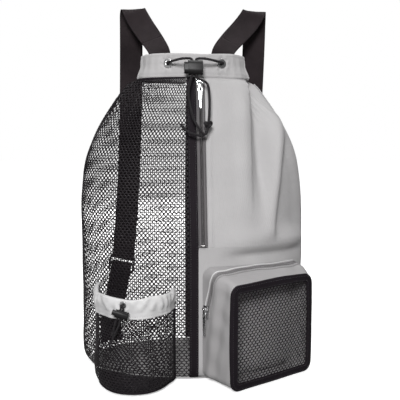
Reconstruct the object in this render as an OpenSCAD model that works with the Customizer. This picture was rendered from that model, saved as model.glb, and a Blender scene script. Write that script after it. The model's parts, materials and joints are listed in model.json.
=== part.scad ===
// Drawstring backpack. One half of the bag is open net, the other half plain
// cloth. It stands on z = 0, its front faces -Y and the net half lies on -X.
// Lengths are in millimetres and angles in degrees.

/* [Bag body] */
// Height of the bag body up to the underside of the collar
body_h = 411; // [400:1:420]
// Full width of the packed bag
body_w = 324; // [310:1:336]
// Depth from the middle of the bag to its front
front_depth = 104; // [98:1:108]
// Depth from the middle of the bag to its back
back_depth = 85; // [78:1:90]
// Thickness of the net and of the cloth
cloth_t = 1.6; // [1.2:0.1:2]
// Height at which the shoulders begin to slope in
shoulder_z = 230; // [215:1:245]

/* [Collar and drawcord] */
// Width of the collar, the tunnel that holds the drawcord
collar_w = 144; // [136:1:152]
// Depth of the collar from front to back
collar_d = 84; // [78:1:88]
// Height of the collar
collar_h = 32; // [28:1:36]
// Diameter of the drawcord
cord_d = 3.4; // [2.6:0.1:3.4]
// Distance between the two collar eyelets
eyelet_gap = 74; // [68:1:80]
// Distance that the cord lock slides along the hanging cord
lock_travel = 36; // [20:1:38]

/* [Front zip] */
// Height of the lower end of the front zip
zip_z0 = 181; // [176:1:190]
// Width of the zip, both tapes together
zip_w = 12; // [12:0.5:13]
// Distance that the front slider travels
zip_travel = 212; // [150:1:212]

/* [Bottle pocket] */
// Height of the pocket's rim
rim_z = 127; // [118:1:132]
// Width of the bottle pocket
bottle_w = 107; // [100:1:110]
// How far forward the bottle pocket reaches
bottle_y = 160; // [154:1:164]
// Height of the light hem at the rim
hem_h = 25; // [22:1:28]

/* [Zipped side pocket] */
// Width of the side pocket's face
face_w = 144; // [136:1:148]
// Height of the side pocket's face
face_h = 137; // [130:1:142]
// Turn of the side pocket's face about the vertical
face_turn = 32.7; // [30:0.1:35]
// Width of the black binding round the face
binding_w = 9; // [7:0.5:10]

/* [Straps] */
// Width of the strap webbing
strap_w = 35; // [30:1:38]
// Thickness of the strap webbing
strap_t = 2; // [1.6:0.1:2.4]
// Height of the top fold of the straps
fold_z = 521; // [510:1:530]

/* [Hidden] */
$fn = 32;

gap = 0.3;                          // space left between neighbouring soft pieces
tuck_z = body_h - 5;                // the cloth turns in to the collar above this
neck_w = 84;                        // half width of the body just under the collar
neck_front = 55;                    // front and back depth of the body at that height
neck_back = 42;
front_tilt = atan((front_depth - neck_front) / (body_h - zip_z0));
collar_y = -8;                      // the collar sits forward of the bag's middle
collar_z = body_h + gap;
collar_a = collar_w / 2;
collar_b = collar_d / 2;
collar_wall = 7;                    // the tunnel: two cloth walls with a channel between
collar_skin = 1.4;
cord_r = cord_d / 2;
zip_x = zip_w / 2;                  // the zip lies just to the cloth side of the middle
zip_len = (tuck_z - zip_z0) / cos(front_tilt);
binding_x = -zip_w - gap;
slider_h = zip_len - 6;             // height of the slider's pin along the zip
lock_off = 15.2;                    // the cord lock hangs clear of the puller below it
lock_len = 19.7;                    // size of the cord lock's shell
lock_tall = 20;
lock_deep = 14;
lock_strands = [5.2, 11];           // where the two cords pass, from the shell's mouth
lock_x = -5.9 - lock_strands[0];
lock_h = (body_h + 10 - zip_z0 - lock_off * sin(front_tilt)) / cos(front_tilt);
lock_proud = 5.3;                   // how far the button stands out of the shell's mouth
press = 2.4;                        // travel of the cord lock's button
knot_r = 6;
knot_x = 13;
knot_h = lock_h - 76;

black = [0.13, 0.12, 0.13];
charcoal = [0.25, 0.25, 0.26];
pale_cloth = [0.72, 0.72, 0.73];
nickel = [0.85, 0.85, 0.86];

// ---- vectors and solids from rows of points ----

function unit(v) = v / norm(v);
function mix(a, b, f) = a + (b - a) * f;
function flip_rows(grid) = [for (row = grid) [for (i = [len(row) - 1:-1:0]) row[i]]];

// Two triangles for the cell between rows r, r + 1 and columns c, d; outward is clockwise
function cell(r, c, d, n) = [[r * n + c, r * n + n + c, r * n + n + d],
                             [r * n + c, r * n + n + d, r * n + d]];
function turned(faces) = [for (f = faces) [f[0], f[2], f[1]]];
function raised(faces, by) = [for (f = faces) [f[0] + by, f[1] + by, f[2] + by]];
function wall(a, b, c, d) = [[a, b, c], [a, c, d]];

// A thin closed solid between an outer and an inner grid of points. Rows run upward and
// columns to the right as seen from outside; a ring closes its last column to its first.
module skin(outer, inner, ring = false) {
    rows = len(outer);
    n = len(outer[0]);
    size = rows * n;
    top = (rows - 1) * n;
    last = ring ? n - 1 : n - 2;
    sheet = [for (r = [0:rows - 2]) for (c = [0:last]) each cell(r, c, (c + 1) % n, n)];
    rims = [for (c = [0:last]) let (d = (c + 1) % n)
        each concat(wall(c, d, size + d, size + c),
                    wall(top + d, top + c, size + top + c, size + top + d))];
    sides = ring ? [] : [for (r = [0:rows - 2]) let (a = r * n, b = a + n)
        each concat(wall(b, a, size + a, size + b),
                    wall(a + n - 1, b + n - 1, size + b + n - 1, size + a + n - 1))];
    polyhedron(concat([for (row = outer) each row], [for (row = inner) each row]),
        concat(sheet, raised(turned(sheet), size), rims, sides));
}

function path_dir(path, i) =
    unit(path[min(i + 1, len(path) - 1)] - path[max(i - 1, 0)]);

// A closed solid that carries a flat section along a path. refs gives, at each point,
// the direction of the section's first axis; sizes scales the section there.
module sweep(path, section, refs, sizes) {
    rows = len(path);
    n = len(section);
    rings = [for (i = [0:rows - 1])
        let (t = path_dir(path, i), ref = refs[i], u = unit(ref - (ref * t) * t), v = cross(t, u))
        [for (p = section) path[i] + sizes[i] * (p[0] * u + p[1] * v)]];
    sheet = [for (r = [0:rows - 2]) for (c = [0:n - 1]) each cell(r, c, (c + 1) % n, n)];
    start = [for (c = [1:n - 2]) [0, c, c + 1]];
    finish = raised(turned(start), (rows - 1) * n);
    polyhedron([for (row = rings) each row], concat(sheet, start, finish));
}

function same(path, value) = [for (p = path) value];
function ring_section(r, sides) = [for (i = [0:sides - 1])
    let (a = 360 * i / sides) r * [cos(a), sin(a)]];
function flat_section(w, t) = [[-w / 2, -t / 2], [w / 2, -t / 2], [w / 2, t / 2], [-w / 2, t / 2]];

module cord(path, r, ref, sides = 8)
    sweep(path, ring_section(r, sides), same(path, ref), same(path, 1));
module ribbon(path, w, t, refs) sweep(path, flat_section(w, t), refs, same(path, 1));

// A smooth curve through four control points
function curve(a, b, c, d, steps) = [for (i = [0:steps]) let (f = i / steps, g = 1 - f)
    g * g * g * a + 3 * g * g * f * b + 3 * g * f * f * c + f * f * f * d];

// ---- the shape of the packed bag ----

function shoulder(z) = max(0, (z - shoulder_z) / (body_h - shoulder_z));
function foot(z) = pow(max(0, 1 - z / 20), 2);
function tuck(z) = max(0, (z - tuck_z) / (body_h - tuck_z));
function half_w(z) = body_w / 2 - 12 * foot(z) - (body_w / 2 - neck_w) * pow(shoulder(z), 2.3)
    - (neck_w - collar_a - 3) * tuck(z);
function front_d(z) = front_depth - 6 * foot(z) - tan(front_tilt) * max(0, z - zip_z0);
function back_d(z) = back_depth - 6 * foot(z)
    - (back_depth - neck_back) * pow(shoulder(z), 2) - 5 * tuck(z);

// A point on the bag at height z; angle 0 is the front and 90 the cloth side
function body_point(a, z, off) =
    [(half_w(z) + off) * sin(a), -((cos(a) > 0 ? front_d(z) : back_d(z)) + off) * cos(a), z];
function angle_at(x, z) = asin(x / half_w(z));

low_z = [3.6, 8, 13, 20, 70, 125];
high_z = [for (i = [0:12]) mix(zip_z0 + 0.2, tuck_z, i / 12)];
side_gap = 0.15;                    // degrees left at the side seams
panel_steps = 12;

// Rows of points from angle a to angle b at every height
function panel_rows(spans, off) = [for (s = spans)
    [for (i = [0:panel_steps]) body_point(mix(s[1], s[2], i / panel_steps), s[0], off)]];

module panel(spans, off = 0, t = cloth_t) skin(panel_rows(spans, off), panel_rows(spans, off - t));

all_z = concat(low_z, [zip_z0 - 0.2], high_z, [body_h]);

module front_mesh_panel() color(black)
    panel([for (z = all_z) [z, side_gap - 90, angle_at(binding_x - gap, z)]]);

module back_mesh_panel() color(black)
    panel([for (z = all_z) [z, -180 + angle_at(6 + gap, z), -90 - side_gap]]);

// The cloth reaches to the net's binding below the zip and stops beside the zip above it
module front_cloth_panel() color(pale_cloth)
    panel([for (z = all_z) [z, angle_at(z < zip_z0 ? gap : zip_w + gap, z), 90 - side_gap]]);

module back_cloth_panel() color(pale_cloth)
    panel([for (z = all_z) [z, 90 + side_gap, 180 - angle_at(6 + gap, z)]]);

function ellipse(a, b, n = 64) = [for (i = [0:n - 1]) [a * sin(360 * i / n), -b * cos(360 * i / n)]];

// Plan of the bag at its base, front half and back half with their own depths
function base_outline(off) = [for (i = [0:71]) let (p = body_point(5 * i, 3.6, off)) [p[0], p[1]]];

module base_panel() color(pale_cloth) linear_extrude(3.2) polygon(base_outline(-1));

// A narrow band sewn over a raw edge of the net
module band(x0, x1, back) {
    spans = [for (z = all_z) back
        ? [z, 180 - angle_at(x1, z), 180 - angle_at(x0, z)]
        : [z, angle_at(x0, z), angle_at(x1, z)]];
    skin([for (s = spans) [for (f = [0, 0.5, 1]) body_point(mix(s[1], s[2], f), s[0], 0.7)]],
         [for (s = spans) [for (f = [0, 0.5, 1]) body_point(mix(s[1], s[2], f), s[0], -1.8)]]);
}

module centre_binding() color(black) band(binding_x, 0, false);
module back_binding() color(black) band(-6, 6, true);

// A cord of binding under the collar, round the net half only; it lies along the slope
// of the shoulder
neck_z = tuck_z - 2.5;
neck_off = 2.2;
module neck_binding() {
    angles = [-172:8:-12];
    path = [for (a = angles) body_point(a, neck_z, neck_off)];
    slope = [for (a = angles) body_point(a, neck_z + 2, neck_off) - body_point(a, neck_z - 2, neck_off)];
    color(black) ribbon(path, 4, 1.6, slope);
}

// ---- collar, eyelets and drawcord ----

function collar_point(a, depth, z) =
    [(collar_a - depth) * sin(a), collar_y - (collar_b - depth) * cos(a), z];

module collar_ring(depth0, depth1, z, h) translate([0, collar_y, z]) linear_extrude(h) difference() {
    polygon(ellipse(collar_a - depth0, collar_b - depth0));
    polygon(ellipse(collar_a - depth1, collar_b - depth1));
}

eyelet_x = eyelet_gap / 2;
eyelet_z = collar_z + 18;
eyelet_y = collar_y - collar_b * sqrt(1 - pow(eyelet_x / collar_a, 2));
eyelet_turn = atan2(eyelet_x / pow(collar_a, 2), (collar_y - eyelet_y) / pow(collar_b, 2));
eyelet_hole = 3.7;                  // radius of the hole cut for an eyelet

module each_eyelet() for (side = [-1, 1])
    translate([side * eyelet_x, eyelet_y, eyelet_z]) rotate([90, 0, side * eyelet_turn]) children();

module collar_casing() color(pale_cloth) difference() {
    collar_ring(0, collar_wall, collar_z, collar_h);
    collar_ring(collar_skin, collar_wall - collar_skin, collar_z + 5, collar_h - 10);
    each_eyelet() translate([0, 0, -3]) cylinder(h = 6, r = eyelet_hole);
}

// A rolled metal eyelet: a barrel with a rounded flange on the outside
module eyelet(flange_r, barrel_r, bore_r, depth) rotate_extrude() {
    translate([bore_r, -depth]) square([barrel_r - bore_r, depth + 1.2]);
    translate([bore_r, 0.35]) square([flange_r - bore_r - 0.5, 0.85]);
    translate([flange_r - 0.5, 0.775]) circle(r = 0.42);
}

module collar_eyelets() color(nickel) each_eyelet() eyelet(6.6, eyelet_hole - 0.1, 2.9, 1.2);

// A point in front of the bag, off the face by d and up the face by h
function on_face(x, d, h) = [x, -front_depth + h * sin(front_tilt) - d * cos(front_tilt),
    zip_z0 + h * cos(front_tilt) + d * sin(front_tilt)];
module face_frame(x, d, h) translate(on_face(x, d, h)) rotate([-front_tilt, 0, 0]) children();

strand_x = [for (s = lock_strands) lock_x + s];
strand_top = lock_h + lock_tall / 2 + 2.2;
channel_mid = collar_wall / 2;

function eyelet_out(side, d) = [side * (eyelet_x + d * sin(eyelet_turn)),
    eyelet_y - d * cos(eyelet_turn), eyelet_z];

// A place on the plane in which the cord lock and the hanging cord lie
function hanging(x, h) = on_face(x, lock_off, h);
cord_ref = [0.1, 0.8, 0.6];         // lies along no part of the cord

// From the knot up through the lock and the left eyelet, round the tunnel and back down
module drawcord() color(black) {
    inner_a = asin((eyelet_x - channel_mid * sin(eyelet_turn)) / (collar_a - channel_mid));
    loop = [for (i = [0:44])
        collar_point(-mix(inner_a, 360 - inner_a, i / 44), channel_mid, eyelet_z)];
    left = curve(hanging(strand_x[0], strand_top), hanging(strand_x[0] - 9, strand_top + 2),
        eyelet_out(-1, 10), eyelet_out(-1, 1), 7);
    right = curve(eyelet_out(1, 1), eyelet_out(1, 10),
        hanging(strand_x[1] + 9, strand_top + 2), hanging(strand_x[1], strand_top), 7);
    bend = lock_h - 62;
    rise = [for (h = [bend, lock_h - lock_tall / 2, lock_h]) hanging(strand_x[0], h)];
    fall = [for (h = [lock_h, lock_h - lock_tall / 2, bend]) hanging(strand_x[1], h)];
    swell_a = [-80:20:60];
    swell = [for (a = swell_a) let (d = knot_r * sin(45) * sin(a)) hanging(knot_x - d, knot_h + d)];
    swell_size = [for (a = swell_a) knot_r * cos(a) / cord_r];
    path = concat(swell, rise, left, loop, right, fall,
        [hanging(knot_x - 2.6, knot_h + knot_r + 2.2)]);
    sizes = concat(swell_size, [for (i = [len(swell):len(path) - 1]) 1]);
    sweep(path, ring_section(cord_r, 8), same(path, cord_ref), sizes);
    tail = curve(hanging(knot_x - 2, knot_h - knot_r - 2.4), hanging(knot_x - 6, knot_h - 26),
        hanging(knot_x - 24, knot_h - 14), hanging(knot_x - 36, knot_h), 12);
    cord(tail, cord_r, cord_ref);
}

// ---- cord locks: a shell, a sprung button and a spring ----

// Flat oval seen along X, tall in Z and deep in Y
module oval_bar(len, tall, deep) rotate([90, 0, 90]) linear_extrude(len) {
    for (s = [-1, 1]) translate([0, s * (tall - deep) / 2]) circle(d = deep);
    square([deep, tall - deep], center = true);
}

module cord_holes(strands, r, tall) for (s = strands)
    translate([s, 0, -tall]) cylinder(h = 2 * tall, r = r);

// The mouth of the shell is at x = 0 and its closed end at x = len
module lock_shell(len, tall, deep, skin_t, strands, r) difference() {
    oval_bar(len, tall, deep);
    translate([-1, 0, 0]) oval_bar(len + 1 - skin_t, tall - 2 * skin_t, deep - 2 * skin_t);
    cord_holes(strands, r + 0.4, tall);
}

function slot_end(strands, r) = strands[1] + r + 0.2;

// The button's slot leaves the cords room through the whole press
module lock_button(tall, deep, skin_t, strands, r, proud, travel) difference() {
    run = 0.3;
    end = slot_end(strands, r);
    begin = strands[0] - r - 0.2 - travel;
    translate([-proud, 0, 0])
        oval_bar(proud + end + 1.6, tall - 2 * (skin_t + run), deep - 2 * (skin_t + run));
    translate([begin, -r - 0.3, -tall]) cube([end - begin, 2 * r + 0.6, 2 * tall]);
}

module coil_spring(r, wire, len, turns) {
    steps = 12 * turns;
    path = [for (i = [0:steps]) let (a = 30 * i)
        [mix(wire, len - wire, i / steps), r * cos(a), r * sin(a)]];
    cord(path, wire / 2, [1, 0, 0], 6);
}

module main_lock_frame() face_frame(lock_x, lock_off, lock_h) children();
main_skin = 1.7;
module cord_lock_shell() color(black) main_lock_frame()
    lock_shell(lock_len, lock_tall, lock_deep, main_skin, lock_strands, cord_r);
module cord_lock_button() color(charcoal) main_lock_frame()
    lock_button(lock_tall, lock_deep, main_skin, lock_strands, cord_r, lock_proud, press);
main_spring_x = slot_end(lock_strands, cord_r) + 1.6;
module cord_lock_spring() color(nickel) main_lock_frame() translate([main_spring_x, 0, 0])
    coil_spring(3.6, 0.5, lock_len - main_skin - main_spring_x, 3);

// ---- zips, drawn in a frame with the zip along Z and outward along -Y ----

coil_gap = 0.8;                     // half the slit that the slider's post runs in
tape_t = 0.8;
plate_w = 9.2;

module tape(side, len) translate([side > 0 ? coil_gap : -zip_w / 2 + 0.2, -tape_t, 0])
    cube([zip_w / 2 - 0.2 - coil_gap, tape_t, len]);

module coil(side, len) translate([side > 0 ? coil_gap : -coil_gap - 1.4, -2.1, 0])
    cube([1.4, 1.2, len]);

pin_y = -5.2;                       // the puller's pin lies this far in front of the tape
pin_r = 0.9;
plate_t = 0.9;
module on_pin() translate([0, pin_y, 0]) rotate([0, 90, 0]) children();

// A slider: two plates joined by a post, with two lugs that carry the puller's pin
module slider() {
    for (y = [-3.1, 0.3]) translate([0, y, 0]) {
        translate([-plate_w / 2, 0, -2]) cube([plate_w, plate_t, 6.5]);
        translate([-plate_w / 2 + 1.5, 0, -6.5]) cube([plate_w - 3, plate_t, 5]);
    }
    translate([-0.6, -3, 2.5]) cube([1.2, 4, 2]);
    difference() {
        for (x = [-3, 2]) translate([x, -6.4, -1.6]) cube([1, 4, 3.2]);
        on_pin() cylinder(h = 10, r = 0.6, center = true);
    }
    on_pin() cylinder(h = 5.6, r = pin_r, center = true);
}

// A drop-shaped puller that hangs from its eye; the eye turns on the slider's pin
module puller(len, w) {
    eye_w = 3.7;
    tip_r = 0.95;
    difference() {
        union() {
            on_pin() cylinder(h = eye_w, r = 1.8, center = true);
            translate([-eye_w / 2, -6, -3]) cube([eye_w, 1.6, 3]);
            translate([0, -4.4, 0]) rotate([90, 0, 0]) linear_extrude(1.6) difference() {
                union() {
                    translate([0, -5 - w / 2]) circle(d = w);
                    polygon([[-w / 2, -5 - w / 2], [w / 2, -5 - w / 2],
                        [tip_r, 1 - len], [-tip_r, 1 - len]]);
                    translate([0, 1 - len]) circle(r = tip_r);
                    polygon([[-eye_w / 2, -2.5], [eye_w / 2, -2.5],
                        [w / 2 - 0.6, -7], [0.6 - w / 2, -7]]);
                }
                translate([0, -5.4 - w / 2]) circle(r = 1.6);
            }
        }
        on_pin() cylinder(h = 8, r = pin_r + 0.08, center = true);
    }
}

module front_zip_frame() face_frame(zip_x, 0, 0) children();
module front_zip_tape_left() color(charcoal) front_zip_frame() tape(-1, zip_len);
module front_zip_tape_right() color(charcoal) front_zip_frame() tape(1, zip_len);
module front_zip_coil_left() color(black) front_zip_frame() translate([0, 0, 4]) coil(-1, zip_len - 6);
module front_zip_coil_right() color(black) front_zip_frame() translate([0, 0, 4]) coil(1, zip_len - 6);
module front_zip_stops() color(nickel) front_zip_frame() {
    translate([-3, -2.3, 1]) cube([6, 1.4, 2.2]);
    for (x = [-4.1, 2.6]) translate([x, -2.1, zip_len - 1.3]) cube([1.5, 1.2, 1.2]);
}
module front_zip_slider() color(nickel) front_zip_frame() translate([0, 0, slider_h]) slider();
module front_zip_puller() color(nickel) front_zip_frame() translate([0, 0, slider_h]) puller(36, 7.6);

// ---- bottle pocket ----

bottle_x = -84.5;
bottle_mid = -92;                   // the pocket's plan is an ellipse about this line
bottle_rx = bottle_w / 2;
bottle_ry = bottle_y + bottle_mid;

function bottle_point(a, depth) =
    [bottle_x + (bottle_rx - depth) * sin(a), bottle_mid - (bottle_ry - depth) * cos(a)];

// Plan of the pocket, let in by depth; its ends run back into the bag
function bottle_plan(depth) = concat([[bottle_x + bottle_rx - depth, -60]],
    [for (a = [90:-6:-90]) bottle_point(a, depth)], [[bottle_x - bottle_rx + depth, -20]]);

module bag_plan(off) polygon([for (i = [0:95]) let (p = body_point(3.75 * i, 60, off)) [p[0], p[1]]]);

module bottle_band(depth0, depth1, z, h) translate([0, 0, z]) linear_extrude(h) difference() {
    polygon(bottle_plan(depth0));
    polygon(bottle_plan(depth1));
    bag_plan(0.5);
    translate([bottle_x - 80, -20.5]) square([160, 2]);
}

hem_z = rim_z - hem_h;
module bottle_pocket_net() color(black) bottle_band(0, cloth_t, 5, hem_z - 5 - gap);
module bottle_pocket_base() color(black) translate([0, 0, 2]) linear_extrude(2.6) difference() {
    polygon(bottle_plan(0.4));
    bag_plan(0.5);
}

hem_out = 0.6;
hem_wall = 5.6;
hem_skin = 1.2;
small_cord_r = 1.2;
small_eyelet_x = -99;
small_eyelet_z = rim_z - 7;
small_eyelet_y = bottle_mid - (bottle_ry + hem_out)
    * sqrt(1 - pow((small_eyelet_x - bottle_x) / (bottle_rx + hem_out), 2));
small_eyelet_turn = atan2((small_eyelet_x - bottle_x) / pow(bottle_rx, 2),
    (bottle_mid - small_eyelet_y) / pow(bottle_ry, 2));

module small_eyelet_frame() translate([small_eyelet_x, small_eyelet_y, small_eyelet_z])
    rotate([90, 0, small_eyelet_turn]) children();

module bottle_pocket_hem() color(pale_cloth) difference() {
    bottle_band(-hem_out, hem_wall - hem_out, hem_z, hem_h);
    bottle_band(hem_skin - hem_out, hem_wall - hem_skin - hem_out, hem_z + 11, hem_h - 14);
    small_eyelet_frame() translate([0, 0, -2.5]) cylinder(h = 5, r = 3.1);
}

module bottle_pocket_eyelet() color(nickel) small_eyelet_frame() eyelet(4.7, 3, 2.3, 1);

pocket_lock_turn = 18;              // the small lock hangs askew below its eyelet
pocket_lock_strands = [4.4, 7.8];
pocket_lock_len = 16;
pocket_lock_tall = 10;
pocket_lock_deep = 9;
pocket_skin = 1.3;
pocket_press = 2;
pocket_proud = 4.5;                 // how far the button stands out of the shell's mouth
pocket_knot_h = -26;                // along the hanging cord, from the lock's middle
small_drop_y = small_eyelet_y - 7.4;

// The small lock's own frame: Z along its cords, the strands at x = lock_strands
module pocket_lock_frame() translate([small_eyelet_x - 3.3, small_drop_y, small_eyelet_z - 10])
    rotate([0, pocket_lock_turn, 0]) translate([-6.1, 0, 0]) children();

function in_hem(a) = let (p = bottle_point(a, hem_wall / 2 - hem_out)) [p[0], p[1], small_eyelet_z];

module bottle_pocket_cord() color(black) {
    gap_a = asin((small_eyelet_x - bottle_x) / bottle_rx);
    for (span = [[gap_a - 3.5, -88], [gap_a + 3.5, 74]])
        cord([for (i = [0:9]) in_hem(mix(span[0], span[1], i / 9))], small_cord_r, [0, 0, 1], 6);
    pocket_lock_frame() {
        for (i = [0, 1]) {
            x = pocket_lock_strands[i];
            cord([[x, 0, pocket_knot_h + 4.6], [x, 0, -5], [x, 0, 5], [x, 0.6, 7.6], [x - 0.2, 4, 9.4]],
                small_cord_r, [1, 0.2, 0.1], 6);
        }
        middle = (pocket_lock_strands[0] + pocket_lock_strands[1]) / 2;
        knot = [for (a = [-80:20:80]) [middle, 0, pocket_knot_h + 3.6 * sin(a)]];
        sweep(knot, ring_section(1, 8), same(knot, [1, 0, 0]), [for (a = [-80:20:80]) 3.6 * cos(a)]);
        cord([[middle, 0, pocket_knot_h - 4.2], [middle - 0.6, 0, pocket_knot_h - 12],
            [middle + 0.6, 0, pocket_knot_h - 20]], small_cord_r, [1, 0.2, 0], 6);
    }
}

module pocket_lock_shell() color(black) pocket_lock_frame()
    lock_shell(pocket_lock_len, pocket_lock_tall, pocket_lock_deep, pocket_skin,
        pocket_lock_strands, small_cord_r);
module pocket_lock_button() color(charcoal) pocket_lock_frame()
    lock_button(pocket_lock_tall, pocket_lock_deep, pocket_skin, pocket_lock_strands,
        small_cord_r, pocket_proud, pocket_press);
pocket_spring_x = slot_end(pocket_lock_strands, small_cord_r) + 1.6;
module pocket_lock_spring() color(nickel) pocket_lock_frame() translate([pocket_spring_x, 0, 0])
    coil_spring(2, 0.4, pocket_lock_len - pocket_skin - pocket_spring_x, 3);

// ---- zipped side pocket, in a frame with X along its face and -Y out of it ----

face_x = 99;                        // where the foot of the face's middle stands
face_y = -117;
corner_r = 18;
face_low = 2;
rise = 0.115;                       // the pocket grows taller towards the bag
module side_frame() translate([face_x, face_y, 0]) rotate([0, 0, face_turn]) children();

// Depth from the face back to the bag's surface at a place s along the face
root_gap = 0.9;
function root_depth(s) = let (
    a = body_w / 2 + root_gap, b = front_depth + root_gap,
    x = face_x + s * cos(face_turn), y = face_y + s * sin(face_turn),
    dx = -sin(face_turn), dy = cos(face_turn),
    qa = pow(dx / a, 2) + pow(dy / b, 2), qb = 2 * (x * dx / (a * a) + y * dy / (b * b)),
    qc = pow(x / a, 2) + pow(y / b, 2) - 1)
    (-qb - sqrt(qb * qb - 4 * qa * qc)) / (2 * qa);

function arc(cx, cz, r, a0, a1) = [for (i = [0:5])
    let (a = mix(a0, a1, i / 5)) [cx + r * cos(a), cz + r * sin(a)]];

// Outline of the face, anticlockwise from the foot of its right side, let in by off
function face_outline(off) = let (
    w = face_w / 2 - off, r = corner_r - off, x = w - r,
    lo = face_low + off, hi = face_low + face_h - off)
    concat(arc(x, lo + r, r, -90, 0), arc(x, hi - r, r, 0, 90),
        [for (i = [1:5]) [mix(x, -x, i / 6), hi]],
        arc(-x, hi - r, r, 90, 180), arc(-x, lo + r, r, 180, 270),
        [for (i = [1:5]) [mix(-x, x, i / 6), lo]]);

// A point of the outline carried back from the face by a distance; root is where the wall ends
function set_back(p, back, root) = [p[0], back, p[1] * (1 + rise * back / root)];

function wall_row(outline, roots, f) = [for (i = [0:len(outline) - 1])
    set_back(outline[i], mix(gap, roots[i], f), roots[i])];

module side_pocket_gusset() color(pale_cloth) side_frame() {
    outer = face_outline(0);
    inner = face_outline(cloth_t);
    roots = [for (p = outer) root_depth(p[0])];
    skin([for (f = [1, 0.5, 0]) wall_row(outer, roots, f)],
         [for (f = [1, 0.5, 0]) wall_row(inner, roots, f)], ring = true);
}

module face_shape(off) {
    w = face_w - 2 * off;
    r = corner_r - off;
    translate([0, face_low + face_h / 2]) {
        square([w, face_h - 2 * off - 2 * r], center = true);
        square([w - 2 * r, face_h - 2 * off], center = true);
        for (x = [-1, 1]) for (z = [-1, 1])
            translate([x * (w / 2 - r), z * (face_h / 2 - off - r)]) circle(r = r);
    }
}

module side_pocket_binding() color(black) side_frame() rotate([90, 0, 0]) linear_extrude(2.6) difference() {
    face_shape(0);
    face_shape(binding_w);
}

module side_pocket_net() color(black) side_frame() translate([0, -0.4, 0]) rotate([90, 0, 0])
    linear_extrude(cloth_t) face_shape(binding_w + gap);

// The zip climbs the pocket's left wall and crosses its top
side_zip_low = 90;
side_zip_back = 10;                 // from the bag's surface to the middle of the zip
side_root = root_depth(-face_w / 2);
side_grow = 1 + rise * (1 - side_zip_back / side_root);
function side_zip_line(off) = let (
    w = face_w / 2 + off, hi = face_low + face_h + off, r = corner_r + off, x = w - r)
    concat([for (z = [side_zip_low, 110]) [-w, z / side_grow]], arc(-x, hi - r, r, 180, 90),
        [for (i = [1:8]) [mix(-x, x, i / 8), hi]]);

// A strip along that line between two distances from its middle, standing off the wall
module side_strip(near, far, off0, off1) {
    roots = [for (p = side_zip_line(0)) root_depth(p[0])];
    function row(off, d) = let (line = side_zip_line(off)) [for (i = [0:len(line) - 1])
        set_back(line[i], roots[i] - side_zip_back - d, roots[i])];
    skin(flip_rows([row(off1, near), row(off1, far)]), flip_rows([row(off0, near), row(off0, far)]));
}

module side_zip_tape_outer() color(black) side_frame() side_strip(coil_gap, 5.8, 0.3, 0.3 + tape_t);
module side_zip_tape_inner() color(black) side_frame() side_strip(-5.8, -coil_gap, 0.3, 0.3 + tape_t);
module side_zip_coil_outer() color(charcoal) side_frame() side_strip(coil_gap, coil_gap + 1.4, 1.2, 2.3);
module side_zip_coil_inner() color(charcoal) side_frame() side_strip(-coil_gap - 1.4, -coil_gap, 1.2, 2.3);

side_slider_z = 101;
module side_zip_frame(z) side_frame() translate([-face_w / 2 - 0.3, side_root - side_zip_back, z])
    rotate([0, 0, -90]) children();

module side_zip_stop() color(nickel) side_zip_frame(side_zip_low - 2.4)
    translate([-3, -2.3, 0]) cube([6, 1.9, 1.8]);

// The side slider keeps outside the cloth wall, so it has no inner plate
module side_zip_slider() color(nickel) side_zip_frame(side_slider_z) difference() {
    slider();
    translate([-6, -0.9, -8]) cube([12, 4, 16]);
}
module side_zip_puller() color(nickel) side_zip_frame(side_slider_z) puller(36, 6.4);

// ---- shoulder straps ----

patch_x = 46;                       // where a strap meets the back of the collar
patch_y = collar_y + collar_b * sqrt(1 - pow(patch_x / collar_a, 2));
patch_turn = atan2(patch_x / pow(collar_a, 2), (patch_y - collar_y) / pow(collar_b, 2));
patch_top = collar_z + collar_h;
tangent = [cos(patch_turn), -sin(patch_turn), 0];
outward = [sin(patch_turn), cos(patch_turn), 0];
patch_mid = [patch_x, patch_y, 0] + 2.4 * outward;
tab_a = 130;                        // the anchor tabs leave the base seam at this angle
tab_foot = body_point(tab_a, 9, 2.4);
tab_top = [124, 67, 44];
tab_dir = unit([half_w(9) * -cos(tab_a), -back_d(9) * sin(tab_a), 0]);
lock_at = [108, 87, 126];           // middle of the ladder lock
lower_dir = unit(lock_at - tab_top);
lower_w = strap_w - 3;              // the adjusting webbing runs freely in the lock
lower_t = 1.8;

module patch() ribbon([for (z = [-24, -12, -0.6]) patch_mid + [0, 0, patch_top + z]],
    strap_w + 3, 2.2, same([0, 1, 2], tangent));

// Up from the collar, over the top fold and down behind the bag
module strap() {
    start = patch_mid + [0, 0, patch_top + 3];
    fold = [94, 62, fold_z];
    up = concat([start], curve(start + [0, 0.4, 5], start + [1, 2, 18],
        fold + [-16, -9, -30], fold + [-3, -8, -4], 8));
    over = curve(fold + [-1.5, -4, -0.8], fold, fold + [1.5, 8, -0.4], fold + [2, 11, -9], 5);
    end = lock_at + 15 * lower_dir;
    down = curve(fold + [2, 12.5, -20], fold + [2, 22, -150], end + [-12, 6, 130], end, 14);
    path = concat(up, over, down);
    refs = [for (i = [0:len(path) - 1]) mix(tangent, [1, 0, 0], min(1, i / 5))];
    ribbon(path, strap_w, strap_t, refs);
}

// The frame of the ladder lock: X across the webbing, Z up along it, -Y towards the bag
lock_u = unit([1, 0, 0] - lower_dir[0] * lower_dir);
lock_v = cross(lower_dir, lock_u);
module lock_frame() multmatrix([
    [lock_u[0], lock_v[0], lower_dir[0], lock_at[0]],
    [lock_u[1], lock_v[1], lower_dir[1], lock_at[1]],
    [lock_u[2], lock_v[2], lower_dir[2], lock_at[2]],
    [0, 0, 0, 1]]) children();

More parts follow.
